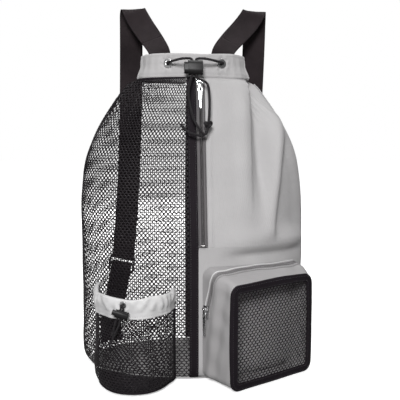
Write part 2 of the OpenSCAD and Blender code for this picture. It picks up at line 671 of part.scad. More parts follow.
// Side rails and three bars; the top bar carries the strap, the others the lower webbing
module ladder_lock() color(black) lock_frame() {
    rail_x = strap_w / 2 + 1.5;
    for (s = [-1, 1]) translate([s * rail_x - 1.5, -2, -13]) cube([3, 4, 25]);
    for (z = [10.5, 0, -11.5]) translate([0, 0, z]) rotate([0, 90, 0])
        cylinder(h = 2 * rail_x, r = 1.9, center = true);
}

// From the anchor tab up through the ladder lock; the cut tail hangs back down
module lower_webbing() {
    steps = [0, 0.25, 0.5, 0.75, 1];
    rise = [for (f = steps)
        mix(tab_top, lock_at, f) - 4.6 * f * lock_v + 1.2 * (1 - f) * lower_dir];
    refs = [for (f = steps) mix(tab_dir, lock_u, f)];
    ribbon(rise, lower_w, lower_t, refs);
    tail = [for (f = [0, 0.5, 1])
        lock_at - 8.2 * lock_v - (4 + 40 * f) * lower_dir - [0, 0, 4 * f]];
    ribbon(tail, lower_w, lower_t, same(tail, lock_u));
}

module anchor_tab() {
    path = curve(tab_foot, tab_foot + [1, 6, 10], tab_top - 18 * lower_dir, tab_top, 5);
    ribbon(path, strap_w + 1, 2.4, same(path, tab_dir));
}

module right_strap() color(black) strap();
module left_strap() color(black) mirror([1, 0, 0]) strap();
module right_strap_patch() color(pale_cloth) patch();
module left_strap_patch() color(pale_cloth) mirror([1, 0, 0]) patch();
module right_ladder_lock() ladder_lock();
module left_ladder_lock() mirror([1, 0, 0]) ladder_lock();
module right_lower_webbing() color(black) lower_webbing();
module left_lower_webbing() color(black) mirror([1, 0, 0]) lower_webbing();
module right_anchor_tab() color(black) anchor_tab();
module left_anchor_tab() color(black) mirror([1, 0, 0]) anchor_tab();

front_mesh_panel();
back_mesh_panel();
front_cloth_panel();
back_cloth_panel();
base_panel();
centre_binding();
back_binding();
neck_binding();
collar_casing();
collar_eyelets();
drawcord();
cord_lock_shell();
cord_lock_button();
cord_lock_spring();
front_zip_tape_left();
front_zip_tape_right();
front_zip_coil_left();
front_zip_coil_right();
front_zip_stops();
front_zip_slider();
front_zip_puller();
bottle_pocket_net();
bottle_pocket_base();
bottle_pocket_hem();
bottle_pocket_eyelet();
bottle_pocket_cord();
pocket_lock_shell();
pocket_lock_button();
pocket_lock_spring();
side_pocket_gusset();
side_pocket_net();
side_pocket_binding();
side_zip_tape_outer();
side_zip_tape_inner();
side_zip_coil_outer();
side_zip_coil_inner();
side_zip_stop();
side_zip_slider();
side_zip_puller();
left_strap();
right_strap();
left_strap_patch();
right_strap_patch();
left_ladder_lock();
right_ladder_lock();
left_lower_webbing();
right_lower_webbing();
left_anchor_tab();
right_anchor_tab();
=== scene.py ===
"""Looks of the drawstring backpack: one half open net, the other half grey cloth.

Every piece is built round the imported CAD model, in metres, from the CAD nodes' own shapes.
Lengths inside the script are in millimetres until a mesh is made.
"""
import bpy
import bmesh
import json
import math
import random
import numpy as np
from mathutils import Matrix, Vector
from mathutils.bvhtree import BVHTree

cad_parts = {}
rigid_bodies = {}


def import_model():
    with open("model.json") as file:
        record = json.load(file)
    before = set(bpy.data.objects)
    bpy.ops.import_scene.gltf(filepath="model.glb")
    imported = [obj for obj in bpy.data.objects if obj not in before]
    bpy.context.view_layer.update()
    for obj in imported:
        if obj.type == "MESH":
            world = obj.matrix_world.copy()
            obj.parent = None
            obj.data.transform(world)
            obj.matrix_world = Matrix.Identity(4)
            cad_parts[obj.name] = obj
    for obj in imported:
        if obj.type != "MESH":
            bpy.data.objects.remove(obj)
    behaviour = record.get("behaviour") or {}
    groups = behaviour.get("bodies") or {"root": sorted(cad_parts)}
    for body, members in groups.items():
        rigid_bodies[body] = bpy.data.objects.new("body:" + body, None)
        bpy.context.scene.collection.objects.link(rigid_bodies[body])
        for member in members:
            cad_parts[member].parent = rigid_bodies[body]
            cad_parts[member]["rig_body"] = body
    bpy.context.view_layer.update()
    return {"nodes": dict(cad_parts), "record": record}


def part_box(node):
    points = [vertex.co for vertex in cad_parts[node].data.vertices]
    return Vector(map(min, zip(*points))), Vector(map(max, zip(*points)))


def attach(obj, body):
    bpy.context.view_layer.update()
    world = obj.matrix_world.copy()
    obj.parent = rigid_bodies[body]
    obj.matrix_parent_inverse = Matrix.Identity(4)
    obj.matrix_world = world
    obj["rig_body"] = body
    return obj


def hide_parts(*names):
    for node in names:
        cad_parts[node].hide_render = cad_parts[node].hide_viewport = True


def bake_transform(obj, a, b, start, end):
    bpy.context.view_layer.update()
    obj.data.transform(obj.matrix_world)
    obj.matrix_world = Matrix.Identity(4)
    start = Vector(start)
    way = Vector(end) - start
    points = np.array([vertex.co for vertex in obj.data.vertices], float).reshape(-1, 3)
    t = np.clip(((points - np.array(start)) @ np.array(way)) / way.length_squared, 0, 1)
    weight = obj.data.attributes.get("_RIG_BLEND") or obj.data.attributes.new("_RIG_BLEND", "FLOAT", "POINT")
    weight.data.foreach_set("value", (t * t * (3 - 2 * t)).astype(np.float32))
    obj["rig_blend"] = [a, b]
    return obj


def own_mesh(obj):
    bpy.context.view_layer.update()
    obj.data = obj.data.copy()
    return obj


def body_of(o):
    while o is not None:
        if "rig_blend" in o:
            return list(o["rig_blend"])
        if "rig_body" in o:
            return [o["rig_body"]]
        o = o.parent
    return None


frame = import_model()
NODES = frame["nodes"]
MM = 0.001
RAD = math.pi / 180
UP = np.array([0.0, 0.0, 1.0])


# ---------------------------------------------------------------- small helpers

def lerp(a, b, f):
    return a + (b - a) * f


def smooth(x):
    x = np.clip(x, 0, 1)
    return x * x * (3 - 2 * x)


def ramp(x, a, b):
    """0 below a, 1 above b, smooth between (a may be above b)."""
    return smooth((np.asarray(x, float) - a) / (b - a))


def bump(x, mid, width):
    return np.exp(-((np.asarray(x, float) - mid) / width) ** 2)


def unit(v):
    v = np.asarray(v, float)
    return v / np.maximum(np.linalg.norm(v, axis=-1, keepdims=True), 1e-9)


def facing(v, way):
    """v, turned round if it points away from way."""
    return v if v @ way > 0 else -v


def run_along(path):
    """How far along a path each of its points lies."""
    return np.concatenate([[0], np.cumsum(np.linalg.norm(np.diff(path, axis=0), axis=1))])


def rows_at(at, run, rows):
    """Points or directions read off between the given rows, which lie at run."""
    return np.stack([np.interp(at, run, rows[:, k]) for k in range(3)], -1)


def node_points(name):
    """A CAD node's own points, in millimetres."""
    return np.array([v.co for v in NODES[name].data.vertices], float) / MM


def box_mm(name):
    lo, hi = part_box(name)
    return np.array(lo) / MM, np.array(hi) / MM


def joint(name):
    return next(j for j in frame["record"]["behaviour"]["joints"] if j["name"] == name)


def joint_axis(name):
    return unit(joint(name)["axis"])


def joint_place(name):
    return np.array(joint(name)["pos_m"], float) / MM


class Through:
    """A smooth curve through given heights that never overshoots them."""

    def __init__(self, xs, ys):
        self.x, self.y = np.asarray(xs, float), np.asarray(ys, float)
        step = np.diff(self.x)
        rise = np.diff(self.y) / step
        slope = np.empty(len(self.x))
        slope[0], slope[-1] = rise[0], rise[-1]
        for i in range(1, len(rise)):
            a, b = rise[i - 1], rise[i]
            slope[i] = 0 if a * b <= 0 else 2 * a * b / (a + b)
        self.m = slope

    def __call__(self, x):
        x = np.clip(np.asarray(x, float), self.x[0], self.x[-1])
        i = np.clip(np.searchsorted(self.x, x) - 1, 0, len(self.x) - 2)
        h = self.x[i + 1] - self.x[i]
        t = (x - self.x[i]) / h
        return ((2 * t**3 - 3 * t**2 + 1) * self.y[i] + (t**3 - 2 * t**2 + t) * h * self.m[i]
                + (3 * t**2 - 2 * t**3) * self.y[i + 1] + (t**3 - t**2) * h * self.m[i + 1])


def waves(*coords, seed=0, count=5, size=40.0):
    """Soft random waves over any coordinates, about -1 to 1; size is their length."""
    r = random.Random(seed)
    total = 0
    for _ in range(count):
        phase = r.uniform(0, 2 * math.pi)
        for c in coords:
            phase = phase + c * (2 * math.pi / (size * r.uniform(0.7, 1.6))) * r.choice((-1, 1))
        total = total + np.sin(phase) * r.uniform(0.6, 1.0)
    return total / count * 1.6


# ---------------------------------------------------------------- making meshes

def add_mesh(name, points, faces, material, smooth_shade=True, uv=None):
    """points in millimetres. uv, if given, holds one (u, v) for each point."""
    mesh = bpy.data.meshes.new(name)
    points = np.asarray(points, float) * MM
    faces = [tuple(int(i) for i in f) for f in faces]
    mesh.from_pydata([tuple(p) for p in points], [], faces)
    mesh.validate()
    if uv is not None:
        layer = mesh.uv_layers.new(name="UVMap")
        at = np.empty(len(mesh.loops), np.int32)
        mesh.loops.foreach_get("vertex_index", at)
        layer.data.foreach_set("uv", np.asarray(uv, np.float32)[at].ravel())
    mesh.polygons.foreach_set("use_smooth", [smooth_shade] * len(mesh.polygons))
    mesh.materials.append(material)
    mesh.update()
    obj = bpy.data.objects.new(name, mesh)
    bpy.context.scene.collection.objects.link(obj)
    return obj


def join_parts(parts):
    """Joins [(points, faces, uv)] into one set."""
    points, faces, uvs, base = [], [], [], 0
    for p, f, u in parts:
        p = np.asarray(p, float).reshape(-1, 3)
        points.append(p)
        uvs.append(np.asarray(u, float).reshape(-1, 2) if u is not None else np.zeros((len(p), 2)))
        faces.extend(tuple(i + base for i in q) for q in f)
        base += len(p)
    return np.concatenate(points), faces, np.concatenate(uvs)


def grid_faces(rows, cols, ring=False, base=0, flip=False, section=False):
    """Faces between rows of points. ring closes each row; section joins the last row to the first."""
    faces = []
    for r in range(rows if section else rows - 1):
        here, there = base + r * cols, base + (r + 1) % rows * cols
        for c in range(cols if ring else cols - 1):
            d = (c + 1) % cols
            q = (here + c, here + d, there + d, there + c)
            faces.append(q[::-1] if flip else q)
    return faces


def end_faces(rows, cols):
    """The faces that close the first and the last row of a ring-shaped grid."""
    return [tuple(reversed(range(cols))), tuple(range((rows - 1) * cols, rows * cols))]


CLOTH_REPEAT = 100.0                    # millimetres of cloth to one unit of its uv


def slab(ring, profile, sag=None):
    """A flat closed piece. profile holds (share of the ring's size, height) from its foot to its top."""
    middle = ring.mean(0)
    layers = []
    for share, z in profile:
        xy = middle + (ring - middle) * max(share, 0.004)
        layers.append(np.c_[xy, sag(xy, share, z) if sag else np.full(len(xy), z)])
    grid = np.array(layers)
    rows, cols = grid.shape[:2]
    faces = grid_faces(rows, cols, True) + end_faces(rows, cols)
    return grid.reshape(-1, 3), faces, grid[..., :2].reshape(-1, 2) / CLOTH_REPEAT


def shell(outer, inner, ring=False, uv=None):
    """A thin closed sheet between two grids of points (rows, columns, 3)."""
    rows, cols = outer.shape[:2]
    n = rows * cols
    faces = grid_faces(rows, cols, ring) + grid_faces(rows, cols, ring, n, True)
    for c in range(cols if ring else cols - 1):
        d = (c + 1) % cols
        faces.append((d, c, n + c, n + d))
        top = (rows - 1) * cols
        faces.append((top + c, top + d, n + top + d, n + top + c))
    if not ring:
        for r in range(rows - 1):
            a, b = r * cols, (r + 1) * cols
            faces.append((a, b, n + b, n + a))
            faces.append((b + cols - 1, a + cols - 1, n + a + cols - 1, n + b + cols - 1))
    points = np.concatenate([outer.reshape(-1, 3), inner.reshape(-1, 3)])
    if uv is None:
        v, u = np.meshgrid(np.linspace(0, 1, rows), np.linspace(0, 1, cols), indexing="ij")
        uv = np.stack([u, v], -1)
    uv = np.asarray(uv, float).reshape(-1, 2)
    return points, faces, np.concatenate([uv, uv])


def frames_along(path, ref=None):
    """Tangent and two normals at each point of a path, turning as little as possible."""
    path = np.asarray(path, float)
    tangent = unit(np.gradient(path, axis=0))
    first = np.array([0.0, 0.0, 1.0]) if ref is None else np.asarray(ref, float)
    if abs(first @ tangent[0]) > 0.95:
        first = np.array([1.0, 0.0, 0.0])
    normals = []
    n = first
    for t in tangent:
        n = unit(n - (n @ t) * t)
        normals.append(n)
    normals = np.array(normals)
    return tangent, normals, np.cross(tangent, normals)


def tube(path, r, sides):
    """A round cord along a path, with a small dome at each end."""
    path = np.asarray(path, float)
    t0, t1 = unit(path[0] - path[1]), unit(path[-1] - path[-2])
    path = np.concatenate([[path[0] + t0 * r * 0.5, path[0] + t0 * r * 0.35], path,
                           [path[-1] + t1 * r * 0.35, path[-1] + t1 * r * 0.5]])
    r = np.array([r * 0.35, r * 0.8] + [r] * (len(path) - 4) + [r * 0.8, r * 0.35])
    _, n, b = frames_along(path)
    angle = np.arange(sides) * 2 * math.pi / sides
    ring = (np.cos(angle)[None, :, None] * n[:, None, :] + np.sin(angle)[None, :, None] * b[:, None, :])
    points = path[:, None, :] + r[:, None, None] * ring
    rows = len(path)
    faces = grid_faces(rows, sides, True, flip=True) + [q[::-1] for q in end_faces(rows, sides)]
    uv = np.stack(np.broadcast_arrays(np.arange(sides)[None, :] / sides, run_along(path)[:, None] / 10), -1)
    return points.reshape(-1, 3), faces, uv.reshape(-1, 2)


def spline(points, count):
    """Evenly spaced points on a smooth curve through the given points."""
    p = np.asarray(points, float)
    p = np.concatenate([[2 * p[0] - p[1]], p, [2 * p[-1] - p[-2]]])
    out = []
    for i in range(1, len(p) - 2):
        t = np.linspace(0, 1, 24, endpoint=False)[:, None]
        a, b, c, d = p[i - 1], p[i], p[i + 1], p[i + 2]
        out.append(0.5 * ((2 * b) + (c - a) * t + (2 * a - 5 * b + 4 * c - d) * t**2
                          + (3 * b - a - 3 * c + d) * t**3))
    out = np.concatenate(out + [p[-2][None]])
    return even(out, count)


def even(path, count):
    """Evenly spaced points along a path."""
    path = np.asarray(path, float)
    run = run_along(path)
    return rows_at(np.linspace(0, run[-1], count), run, path)


def length_of(path):
    return float(np.linalg.norm(np.diff(np.asarray(path, float), axis=0), axis=1).sum())


WEB_REPEAT = 35.0                       # the webbing's weave repeats once in this length


def ribbon(path, across, width, thick, rib=0.0, cols=15):
    """Webbing along a path. across gives its direction of width at each point."""
    path, across = np.asarray(path, float), unit(across)
    tangent = unit(np.gradient(path, axis=0))
    across = unit(across - (across * tangent).sum(-1, keepdims=True) * tangent)
    up = np.cross(tangent, across)
    s = np.linspace(-1, 1, cols)
    width = np.broadcast_to(np.asarray(width, float), (len(path),))
    half = thick / 2 * (1 - 0.45 * np.abs(s) ** 6)           # it thins towards its edges
    half = half + rib * np.cos(np.arange(cols) * math.pi)
    middle = path[:, None, :] + (width[:, None, None] / 2 * s[None, :, None]) * across[:, None, :]
    lift = half[None, :, None] * up[:, None, :]
    uv = np.stack(np.broadcast_arrays((s[None, :] + 1) / 2, run_along(path)[:, None] / WEB_REPEAT), -1)
    return shell(middle + lift, middle - lift, uv=uv)


def stitches(path, normals, pitch=3.0, size=2.0, r=0.25):
    """A row of thread stitches lying on a surface along a path."""
    path = np.asarray(path, float)
    total = length_of(path)
    count = max(2, int(total / pitch))
    run = run_along(path)
    normals = np.broadcast_to(np.asarray(normals, float), path.shape)

    def at(s):
        return rows_at(s, run, path), unit(rows_at(s, run, normals))

    parts = []
    for i in range(count):
        s0 = (i + 0.2) * total / count
        (a, na), (b, nb) = at(s0), at(s0 + size)
        mid = (a + b) / 2 + (na + nb) / 2 * r * 0.5
        t = unit(b - a)
        side = np.cross(t, na)
        rings = []
        for p, k, sink in ((a, 0.3, -0.6), (lerp(a, mid, 0.5), 0.9, 0.1), (mid, 1, 0.2),
                           (lerp(mid, b, 0.5), 0.9, 0.1), (b, 0.3, -0.6)):
            p = p + na * r * sink
            rings.append([p + r * k * (math.cos(q) * side + math.sin(q) * na)
                          for q in (0, math.pi / 2, math.pi, 3 * math.pi / 2)])
        rings = np.array(rings).reshape(-1, 3)
        parts.append((rings, grid_faces(5, 4, True) + end_faces(5, 4), None))
    return join_parts(parts)


def surface_stitches(surface, p, q, off, *pattern):
    """Stitches that lie off outside surface(p, q, off)."""
    path = surface(p, q, off)
    return stitches(path, unit(surface(p, q, 3.0) - path), *pattern)


def cad_mesh_islands(name):
    """The CAD node's solids, each as welded points and the faces between them."""
    bm = bmesh.new()
    bm.from_mesh(NODES[name].data)
    bmesh.ops.remove_doubles(bm, verts=bm.verts, dist=1e-5)
    bm.verts.ensure_lookup_table()
    left, islands = set(range(len(bm.verts))), []
    while left:
        seed = left.pop()
        group, todo = {seed}, [seed]
        while todo:
            v = bm.verts[todo.pop()]
            for e in v.link_edges:
                o = e.other_vert(v).index
                if o in left:
                    left.discard(o)
                    group.add(o)
                    todo.append(o)
        order = sorted(group)
        back = {i: k for k, i in enumerate(order)}
        links = [set() for _ in order]
        for i in order:
            for e in bm.verts[i].link_edges:
                links[back[i]].add(back[e.other_vert(bm.verts[i]).index])
        islands.append((np.array([bm.verts[i].co for i in order]) / MM, links))
    bm.free()
    return islands


def nearest(points, start, n):
    return np.argsort(np.linalg.norm(points - np.asarray(start), axis=1))[:n]


def sweep_rows(points, links, first):
    """The rows of points of a swept CAD solid, in order, beginning with the points of one end."""
    seen, row, rows = set(int(i) for i in first), [int(i) for i in first], []
    while row:
        rows.append(points[row])
        following = set()
        for i in row:
            following |= {j for j in links[i] if j not in seen}
        seen |= following
        row = sorted(following)
    return rows


def strip_rows(rows):
    """Middle, width direction, width and thickness of each row of four points."""
    mids, across, widths, thick = [], [], [], []
    for row in rows:
        if len(row) != 4:
            continue
        m = row.mean(0)
        d = sorted(((np.linalg.norm(row[i] - row[j]), i, j) for i in range(4) for j in range(i)),
                   key=lambda x: x[0])
        w = unit(row[d[2][1]] - row[d[2][2]])
        if across and w @ across[-1] < 0:
            w = -w
        mids.append(m)
        across.append(w)
        widths.append(d[2][0])
        thick.append(d[0][0])
    return np.array(mids), np.array(across), float(np.median(widths)), float(np.median(thick))


def smooth_strip(node, start, count):
    """A CAD strip's middle line and width directions, resampled smoothly."""
    islands = cad_mesh_islands(node)
    start = np.asarray(start, float)
    points, links = min(islands, key=lambda g: np.linalg.norm(g[0] - start, axis=1).min())
    mids, across, width, thick = strip_rows(sweep_rows(points, links, nearest(points, start, 4)))
    run = run_along(mids)
    dirs = rows_at(np.linspace(0, run[-1], count), run, across)
    return spline(mids, count), unit(dirs), width, thick


def refined(node, material, width, name, segments=2, angle=32):
    """A rigid CAD node with its edges rounded; it stands for the node."""
    bm = bmesh.new()
    bm.from_mesh(NODES[node].data)
    bmesh.ops.remove_doubles(bm, verts=bm.verts, dist=1e-5)
    bmesh.ops.dissolve_limit(bm, angle_limit=math.radians(1.5), verts=bm.verts, edges=bm.edges)
    mesh = bpy.data.meshes.new(name)
    bm.to_mesh(mesh)
    bm.free()
    mesh.materials.clear()
    mesh.materials.append(material)
    obj = bpy.data.objects.new(name, mesh)
    bpy.context.scene.collection.objects.link(obj)
    mesh.polygons.foreach_set("use_smooth", [True] * len(mesh.polygons))
    b = obj.modifiers.new("edges", "BEVEL")
    b.width = width * MM
    b.segments = segments
    b.limit_method = "ANGLE"
    b.angle_limit = math.radians(angle)
    b.harden_normals = True
    b.use_clamp_overlap = True
    return put(obj, body_of(NODES[node])[0], node)


def put(obj, body, node=None):
    """obj rides a body and, if a node is named, stands for it."""
    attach(obj, body)
    if node:
        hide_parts(node)
    return obj


def bend(obj, body_a, body_b, start, end, node):
    """obj stands for a node and bends between two bodies, from start to end in millimetres."""
    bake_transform(obj, body_a, body_b, Vector(start * MM), Vector(end * MM))
    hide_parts(node)


def piece(name, made, material, node=None, body="bag", smooth_shade=True):
    """Adds (points, faces, uv) as a mesh that rides a body and may stand for a node."""
    points, faces, uv = made
    return put(add_mesh(name, points, faces, material, smooth_shade, uv), body, node)


def sewing(name, rows, thread, body="bag"):
    """Adds rows of stitches as one mesh."""
    points, faces, _ = join_parts(rows)
    put(add_mesh(name, points, faces, thread), body)


# ---------------------------------------------------------------- materials

def new_material(name):
    """An empty node material: the material, its nodes and its principled surface."""
    m = bpy.data.materials.new(name)
    m.use_nodes = True
    nt = m.node_tree
    nt.nodes.clear()
    out = nt.nodes.new("ShaderNodeOutputMaterial")
    p = nt.nodes.new("ShaderNodeBsdfPrincipled")
    nt.links.new(p.outputs["BSDF"], out.inputs["Surface"])
    return m, Nodes(nt), p


class Nodes:
    """A few words for building node trees."""

    def __init__(self, nt):
        self.nt = nt

    def new(self, kind, **values):
        n = self.nt.nodes.new("ShaderNode" + kind)
        for k, v in values.items():
            setattr(n, k, v)
        return n

    def link(self, a, b):
        self.nt.links.new(a, b)

    def coords(self, which="Object", rotation=(0, 0, 0)):
        tc = self.new("TexCoord")
        mp = self.new("Mapping")
        mp.inputs["Rotation"].default_value = rotation
        self.link(tc.outputs[which], mp.inputs["Vector"])
        return mp.outputs["Vector"]

    def noise(self, vector, scale, detail=3.0, rough=0.55):
        n = self.new("TexNoise")
        n.inputs["Scale"].default_value = scale
        n.inputs["Detail"].default_value = detail
        n.inputs["Roughness"].default_value = rough
        self.link(vector, n.inputs["Vector"])
        return n.outputs["Fac"]

    def wave(self, vector, scale, direction="X", distortion=0.0):
        w = self.new("TexWave")
        w.wave_type = "BANDS"
        w.bands_direction = direction
        w.wave_profile = "SIN"
        w.inputs["Scale"].default_value = scale
        w.inputs["Distortion"].default_value = distortion
        w.inputs["Detail"].default_value = 1.0
        self.link(vector, w.inputs["Vector"])
        return w.outputs["Fac"]

    def math(self, kind, a, b):
        n = self.new("Math")
        n.operation = kind
        for i, x in enumerate((a, b)):
            if isinstance(x, (int, float)):
                n.inputs[i].default_value = x
            else:
                self.link(x, n.inputs[i])
        return n.outputs[0]

    def map(self, value, lo, hi, a=0.0, b=1.0):
        """value, between a and b, carried over to between lo and hi."""
        n = self.new("MapRange")
        n.inputs["From Min"].default_value = a
        n.inputs["From Max"].default_value = b
        n.inputs["To Min"].default_value = lo
        n.inputs["To Max"].default_value = hi
        self.link(value, n.inputs["Value"])
        return n.outputs["Result"]

    def mix(self, fac, a, b):
        """A colour between a and b; each may be a colour or another node's output."""
        n = self.new("Mix")
        n.data_type = "RGBA"
        n.blend_type = "MIX"
        if isinstance(fac, (int, float)):
            n.inputs[0].default_value = fac
        else:
            self.link(fac, n.inputs[0])
        for i, x in ((6, a), (7, b)):
            if isinstance(x, tuple):
                n.inputs[i].default_value = (*x, 1)
            else:
                self.link(x, n.inputs[i])
        return n.outputs[2]

    def share(self, value, amount):
        return self.math("MULTIPLY", value, amount)

    def surface(self, p, colour, roughness, normal, shine, sheen=0.0):
        """Feeds one surface: its colour, roughness, bump, shine and sheen."""
        self.link(colour, p.inputs["Base Color"])
        self.link(roughness, p.inputs["Roughness"])
        self.link(normal, p.inputs["Normal"])
        p.inputs["Specular IOR Level"].default_value = shine
        p.inputs["Sheen Weight"].default_value = sheen

    def bump(self, height, strength, distance, normal=None):
        n = self.new("Bump")
        n.inputs["Strength"].default_value = strength
        n.inputs["Distance"].default_value = distance
        self.link(height, n.inputs["Height"])
        if normal is not None:
            self.link(normal, n.inputs["Normal"])
        return n.outputs["Normal"]


def woven(name, colour, dark, period=0.9, cloud=14.0, fleck=0.25, sheen=0.12, shine=0.3):
    """Plain-woven cloth: crossing threads, soft clouding, faint flecks and sheen."""
    m, n, p = new_material(name)
    v = n.coords("Object")
    threads = 160 / period                  # the wave node's scale that gives this period
    turned = n.coords("Object", rotation=(0, 0, math.radians(45)))
    warp = n.wave(turned, threads, "X", 0.4)
    weft = n.wave(v, threads, "Z", 0.4)
    weave = n.math("MULTIPLY", n.math("ADD", warp, 0.3), n.math("ADD", weft, 0.3))
    clouds = n.noise(v, cloud, 4)
    grain = n.noise(v, 900, 2)
    c = n.mix(n.map(clouds, 0, 1, 0.3, 0.7), dark, colour)
    c = n.mix(n.share(n.map(grain, 0, 1, 0.35, 0.75), fleck), c, dark)
    roughness = n.map(n.math("ADD", n.share(clouds, 0.5), n.share(grain, 0.5)), 0.62, 0.82)
    wrinkle = n.bump(n.noise(v, 55, 4, 0.6), 0.22, 0.002)
    p.inputs["Sheen Roughness"].default_value = 0.5
    n.surface(p, c, roughness, n.bump(weave, 0.35, 0.0003, wrinkle), shine, sheen)
    return m


def webbing_material(name, colour, light, ribs=11):
    """Ribbed webbing: lengthwise ribs crossed by a fine twill, with a pale fuzz all over."""
    m, n, p = new_material(name)
    uv = n.coords("UV")
    obj = n.coords("Object")
    rib = n.wave(uv, ribs * 0.5, "X")
    pick = n.wave(uv, 22, "Y", 0.5)
    twill = n.wave(n.coords("UV", rotation=(0, 0, math.radians(38))), 30, "X")
    height = n.math("ADD", n.share(rib, 0.6), n.share(n.math("MULTIPLY", pick, twill), 0.7))
    cloud = n.noise(obj, 22, 4)
    fuzz = n.noise(obj, 700, 2)
    c = n.mix(n.map(cloud, 0, 1, 0.35, 0.7), colour, light)
    # painted highlight: the raised ribs and twill are painted paler, as where they catch the light
    c = n.mix(n.share(height, 0.35), c, light)
    c = n.mix(n.share(n.map(fuzz, 0, 1, 0.55, 0.8), 0.35), c, light)
    roughness = n.map(n.math("ADD", cloud, n.share(height, 0.5)), 0.55, 0.8, 0.3, 1.3)
    n.surface(p, c, roughness, n.bump(height, 0.5, 0.0006), 0.12, 0.02)
    return m


def braid_material(name, colour, light):
    """Braided cord: two sets of strands crossing at 40 degrees."""
    m, n, p = new_material(name)
    a = n.wave(n.coords("UV", rotation=(0, 0, math.radians(40))), 3.4, "X")
    b = n.wave(n.coords("UV", rotation=(0, 0, math.radians(-40))), 3.4, "X")
    height = n.math("MAXIMUM", a, b)
    fuzz = n.noise(n.coords("Object"), 800, 2)
    # painted highlight: the raised strands are painted paler, as where they catch the light
    c = n.mix(n.share(height, 0.5), colour, light)
    c = n.mix(n.share(n.map(fuzz, 0, 1, 0.5, 0.8), 0.3), c, light)
    n.surface(p, c, n.map(fuzz, 0.5, 0.75), n.bump(height, 0.6, 0.0006), 0.25, 0.03)
    return m


def thread_material(name, colour, dark, sheen=0.2):
    """Net strands and sewing thread: short fibres and uneven dye."""
    m, n, p = new_material(name)
    v = n.coords("Object")
    cloud = n.noise(v, 30, 4)
    fibre = n.noise(v, 600, 3)
    c = n.mix(n.map(cloud, 0, 1, 0.35, 0.65), dark, colour)
    c = n.mix(n.share(n.map(fibre, 0, 1, 0.4, 0.7), 0.4), c, colour)
    n.surface(p, c, n.map(fibre, 0.5, 0.75, 0.3, 0.7), n.bump(fibre, 0.3, 0.0004), 0.2, sheen)
    return m


def plastic_material(name, colour, worn, rough=(0.34, 0.5)):
    """Moulded plastic: fine eroded grain, a soft shine and small scuffs."""
    m, n, p = new_material(name)
    v = n.coords("Object")
    grain = n.noise(v, 2200, 2)
    scuff = n.noise(v, 260, 6, 0.7)
    marks = n.map(scuff, 0, 1, 0.6, 0.72)
    c = n.mix(n.share(marks, 0.35), colour, worn)
    roughness = n.math("ADD", n.map(grain, *rough, 0.3, 0.7), n.share(marks, 0.15))
    n.surface(p, c, roughness, n.bump(grain, 0.12, 0.0002), 0.3)
    return m


def metal_material(name, colour, tarnish, rough=(0.16, 0.34)):
    """Plated metal or wire, a little tarnished."""
    m, n, p = new_material(name)
    v = n.coords("Object")
    cloud = n.noise(v, 160, 5, 0.6)
    fine = n.noise(v, 1500, 3)
    c = n.mix(n.map(cloud, 0, 0.8, 0.45, 0.75), colour, tarnish)
    p.inputs["Metallic"].default_value = 1.0
    roughness = n.map(n.math("ADD", n.share(cloud, 0.6), n.share(fine, 0.4)), *rough, 0.3, 0.7)
    n.surface(p, c, roughness, n.bump(fine, 0.06, 0.0002), 0.5)
    return m


GREY = woven("grey_cloth", (0.40, 0.392, 0.394), (0.35, 0.342, 0.345))
# the bag's grey cloth made darker: painted shade for the side pocket's wall, which is the same cloth
POCKET_SHADE_GREY = woven("pocket_cloth_painted_shade", (0.335, 0.326, 0.329), (0.285, 0.277, 0.28))
# pale cloth: the pocket hem's own colour, and a painted highlight on the fold's edge beside the side zip
PALE_CLOTH_AND_HIGHLIGHT = woven("pale_cloth_and_painted_highlight", (0.60, 0.595, 0.595), (0.52, 0.515, 0.52), cloud=30, sheen=0.15)
NET = thread_material("black_net", (0.016, 0.013, 0.015), (0.008, 0.006, 0.008), sheen=0.03)
BINDING = woven("black_binding", (0.012, 0.009, 0.012), (0.007, 0.005, 0.007),
                period=1.1, fleck=0.1, sheen=0.02, shine=0.1)
WEB = webbing_material("black_webbing", (0.009, 0.006, 0.007), (0.024, 0.018, 0.020))
CORD = braid_material("black_cord", (0.006, 0.005, 0.006), (0.024, 0.021, 0.024))
THREAD_GREY = thread_material("grey_thread", (0.46, 0.455, 0.46), (0.36, 0.355, 0.36))
THREAD_BLACK = thread_material("black_thread", (0.035, 0.032, 0.036), (0.015, 0.014, 0.016))
TAPE = woven("zip_tape_cloth", (0.115, 0.108, 0.111), (0.09, 0.085, 0.088),
             period=0.7, fleck=0.3, sheen=0.1)
SIDE_COIL = plastic_material("side_coil_plastic", (0.13, 0.125, 0.128), (0.18, 0.175, 0.18))
COIL = plastic_material("zip_coil_plastic", (0.075, 0.07, 0.073), (0.11, 0.105, 0.11))
SIDE_TAPE = woven("side_zip_cloth", (0.28, 0.272, 0.275), (0.23, 0.222, 0.225),
                  period=0.7, fleck=0.3, sheen=0.1)
GUNMETAL = metal_material("dark_stop_metal", (0.16, 0.155, 0.155), (0.09, 0.085, 0.085))
PLASTIC = plastic_material("black_plastic", (0.005, 0.0045, 0.005), (0.03, 0.029, 0.03), (0.42, 0.58))
PLASTIC_2 = plastic_material("dark_plastic", (0.009, 0.0085, 0.009), (0.04, 0.039, 0.04), (0.4, 0.55))
NICKEL = metal_material("nickel_plate", (0.86, 0.86, 0.87), (0.62, 0.61, 0.60))
STEEL = metal_material("spring_wire", (0.62, 0.61, 0.60), (0.4, 0.39, 0.37), (0.25, 0.4))


# ---------------------------------------------------------------- the body's surface

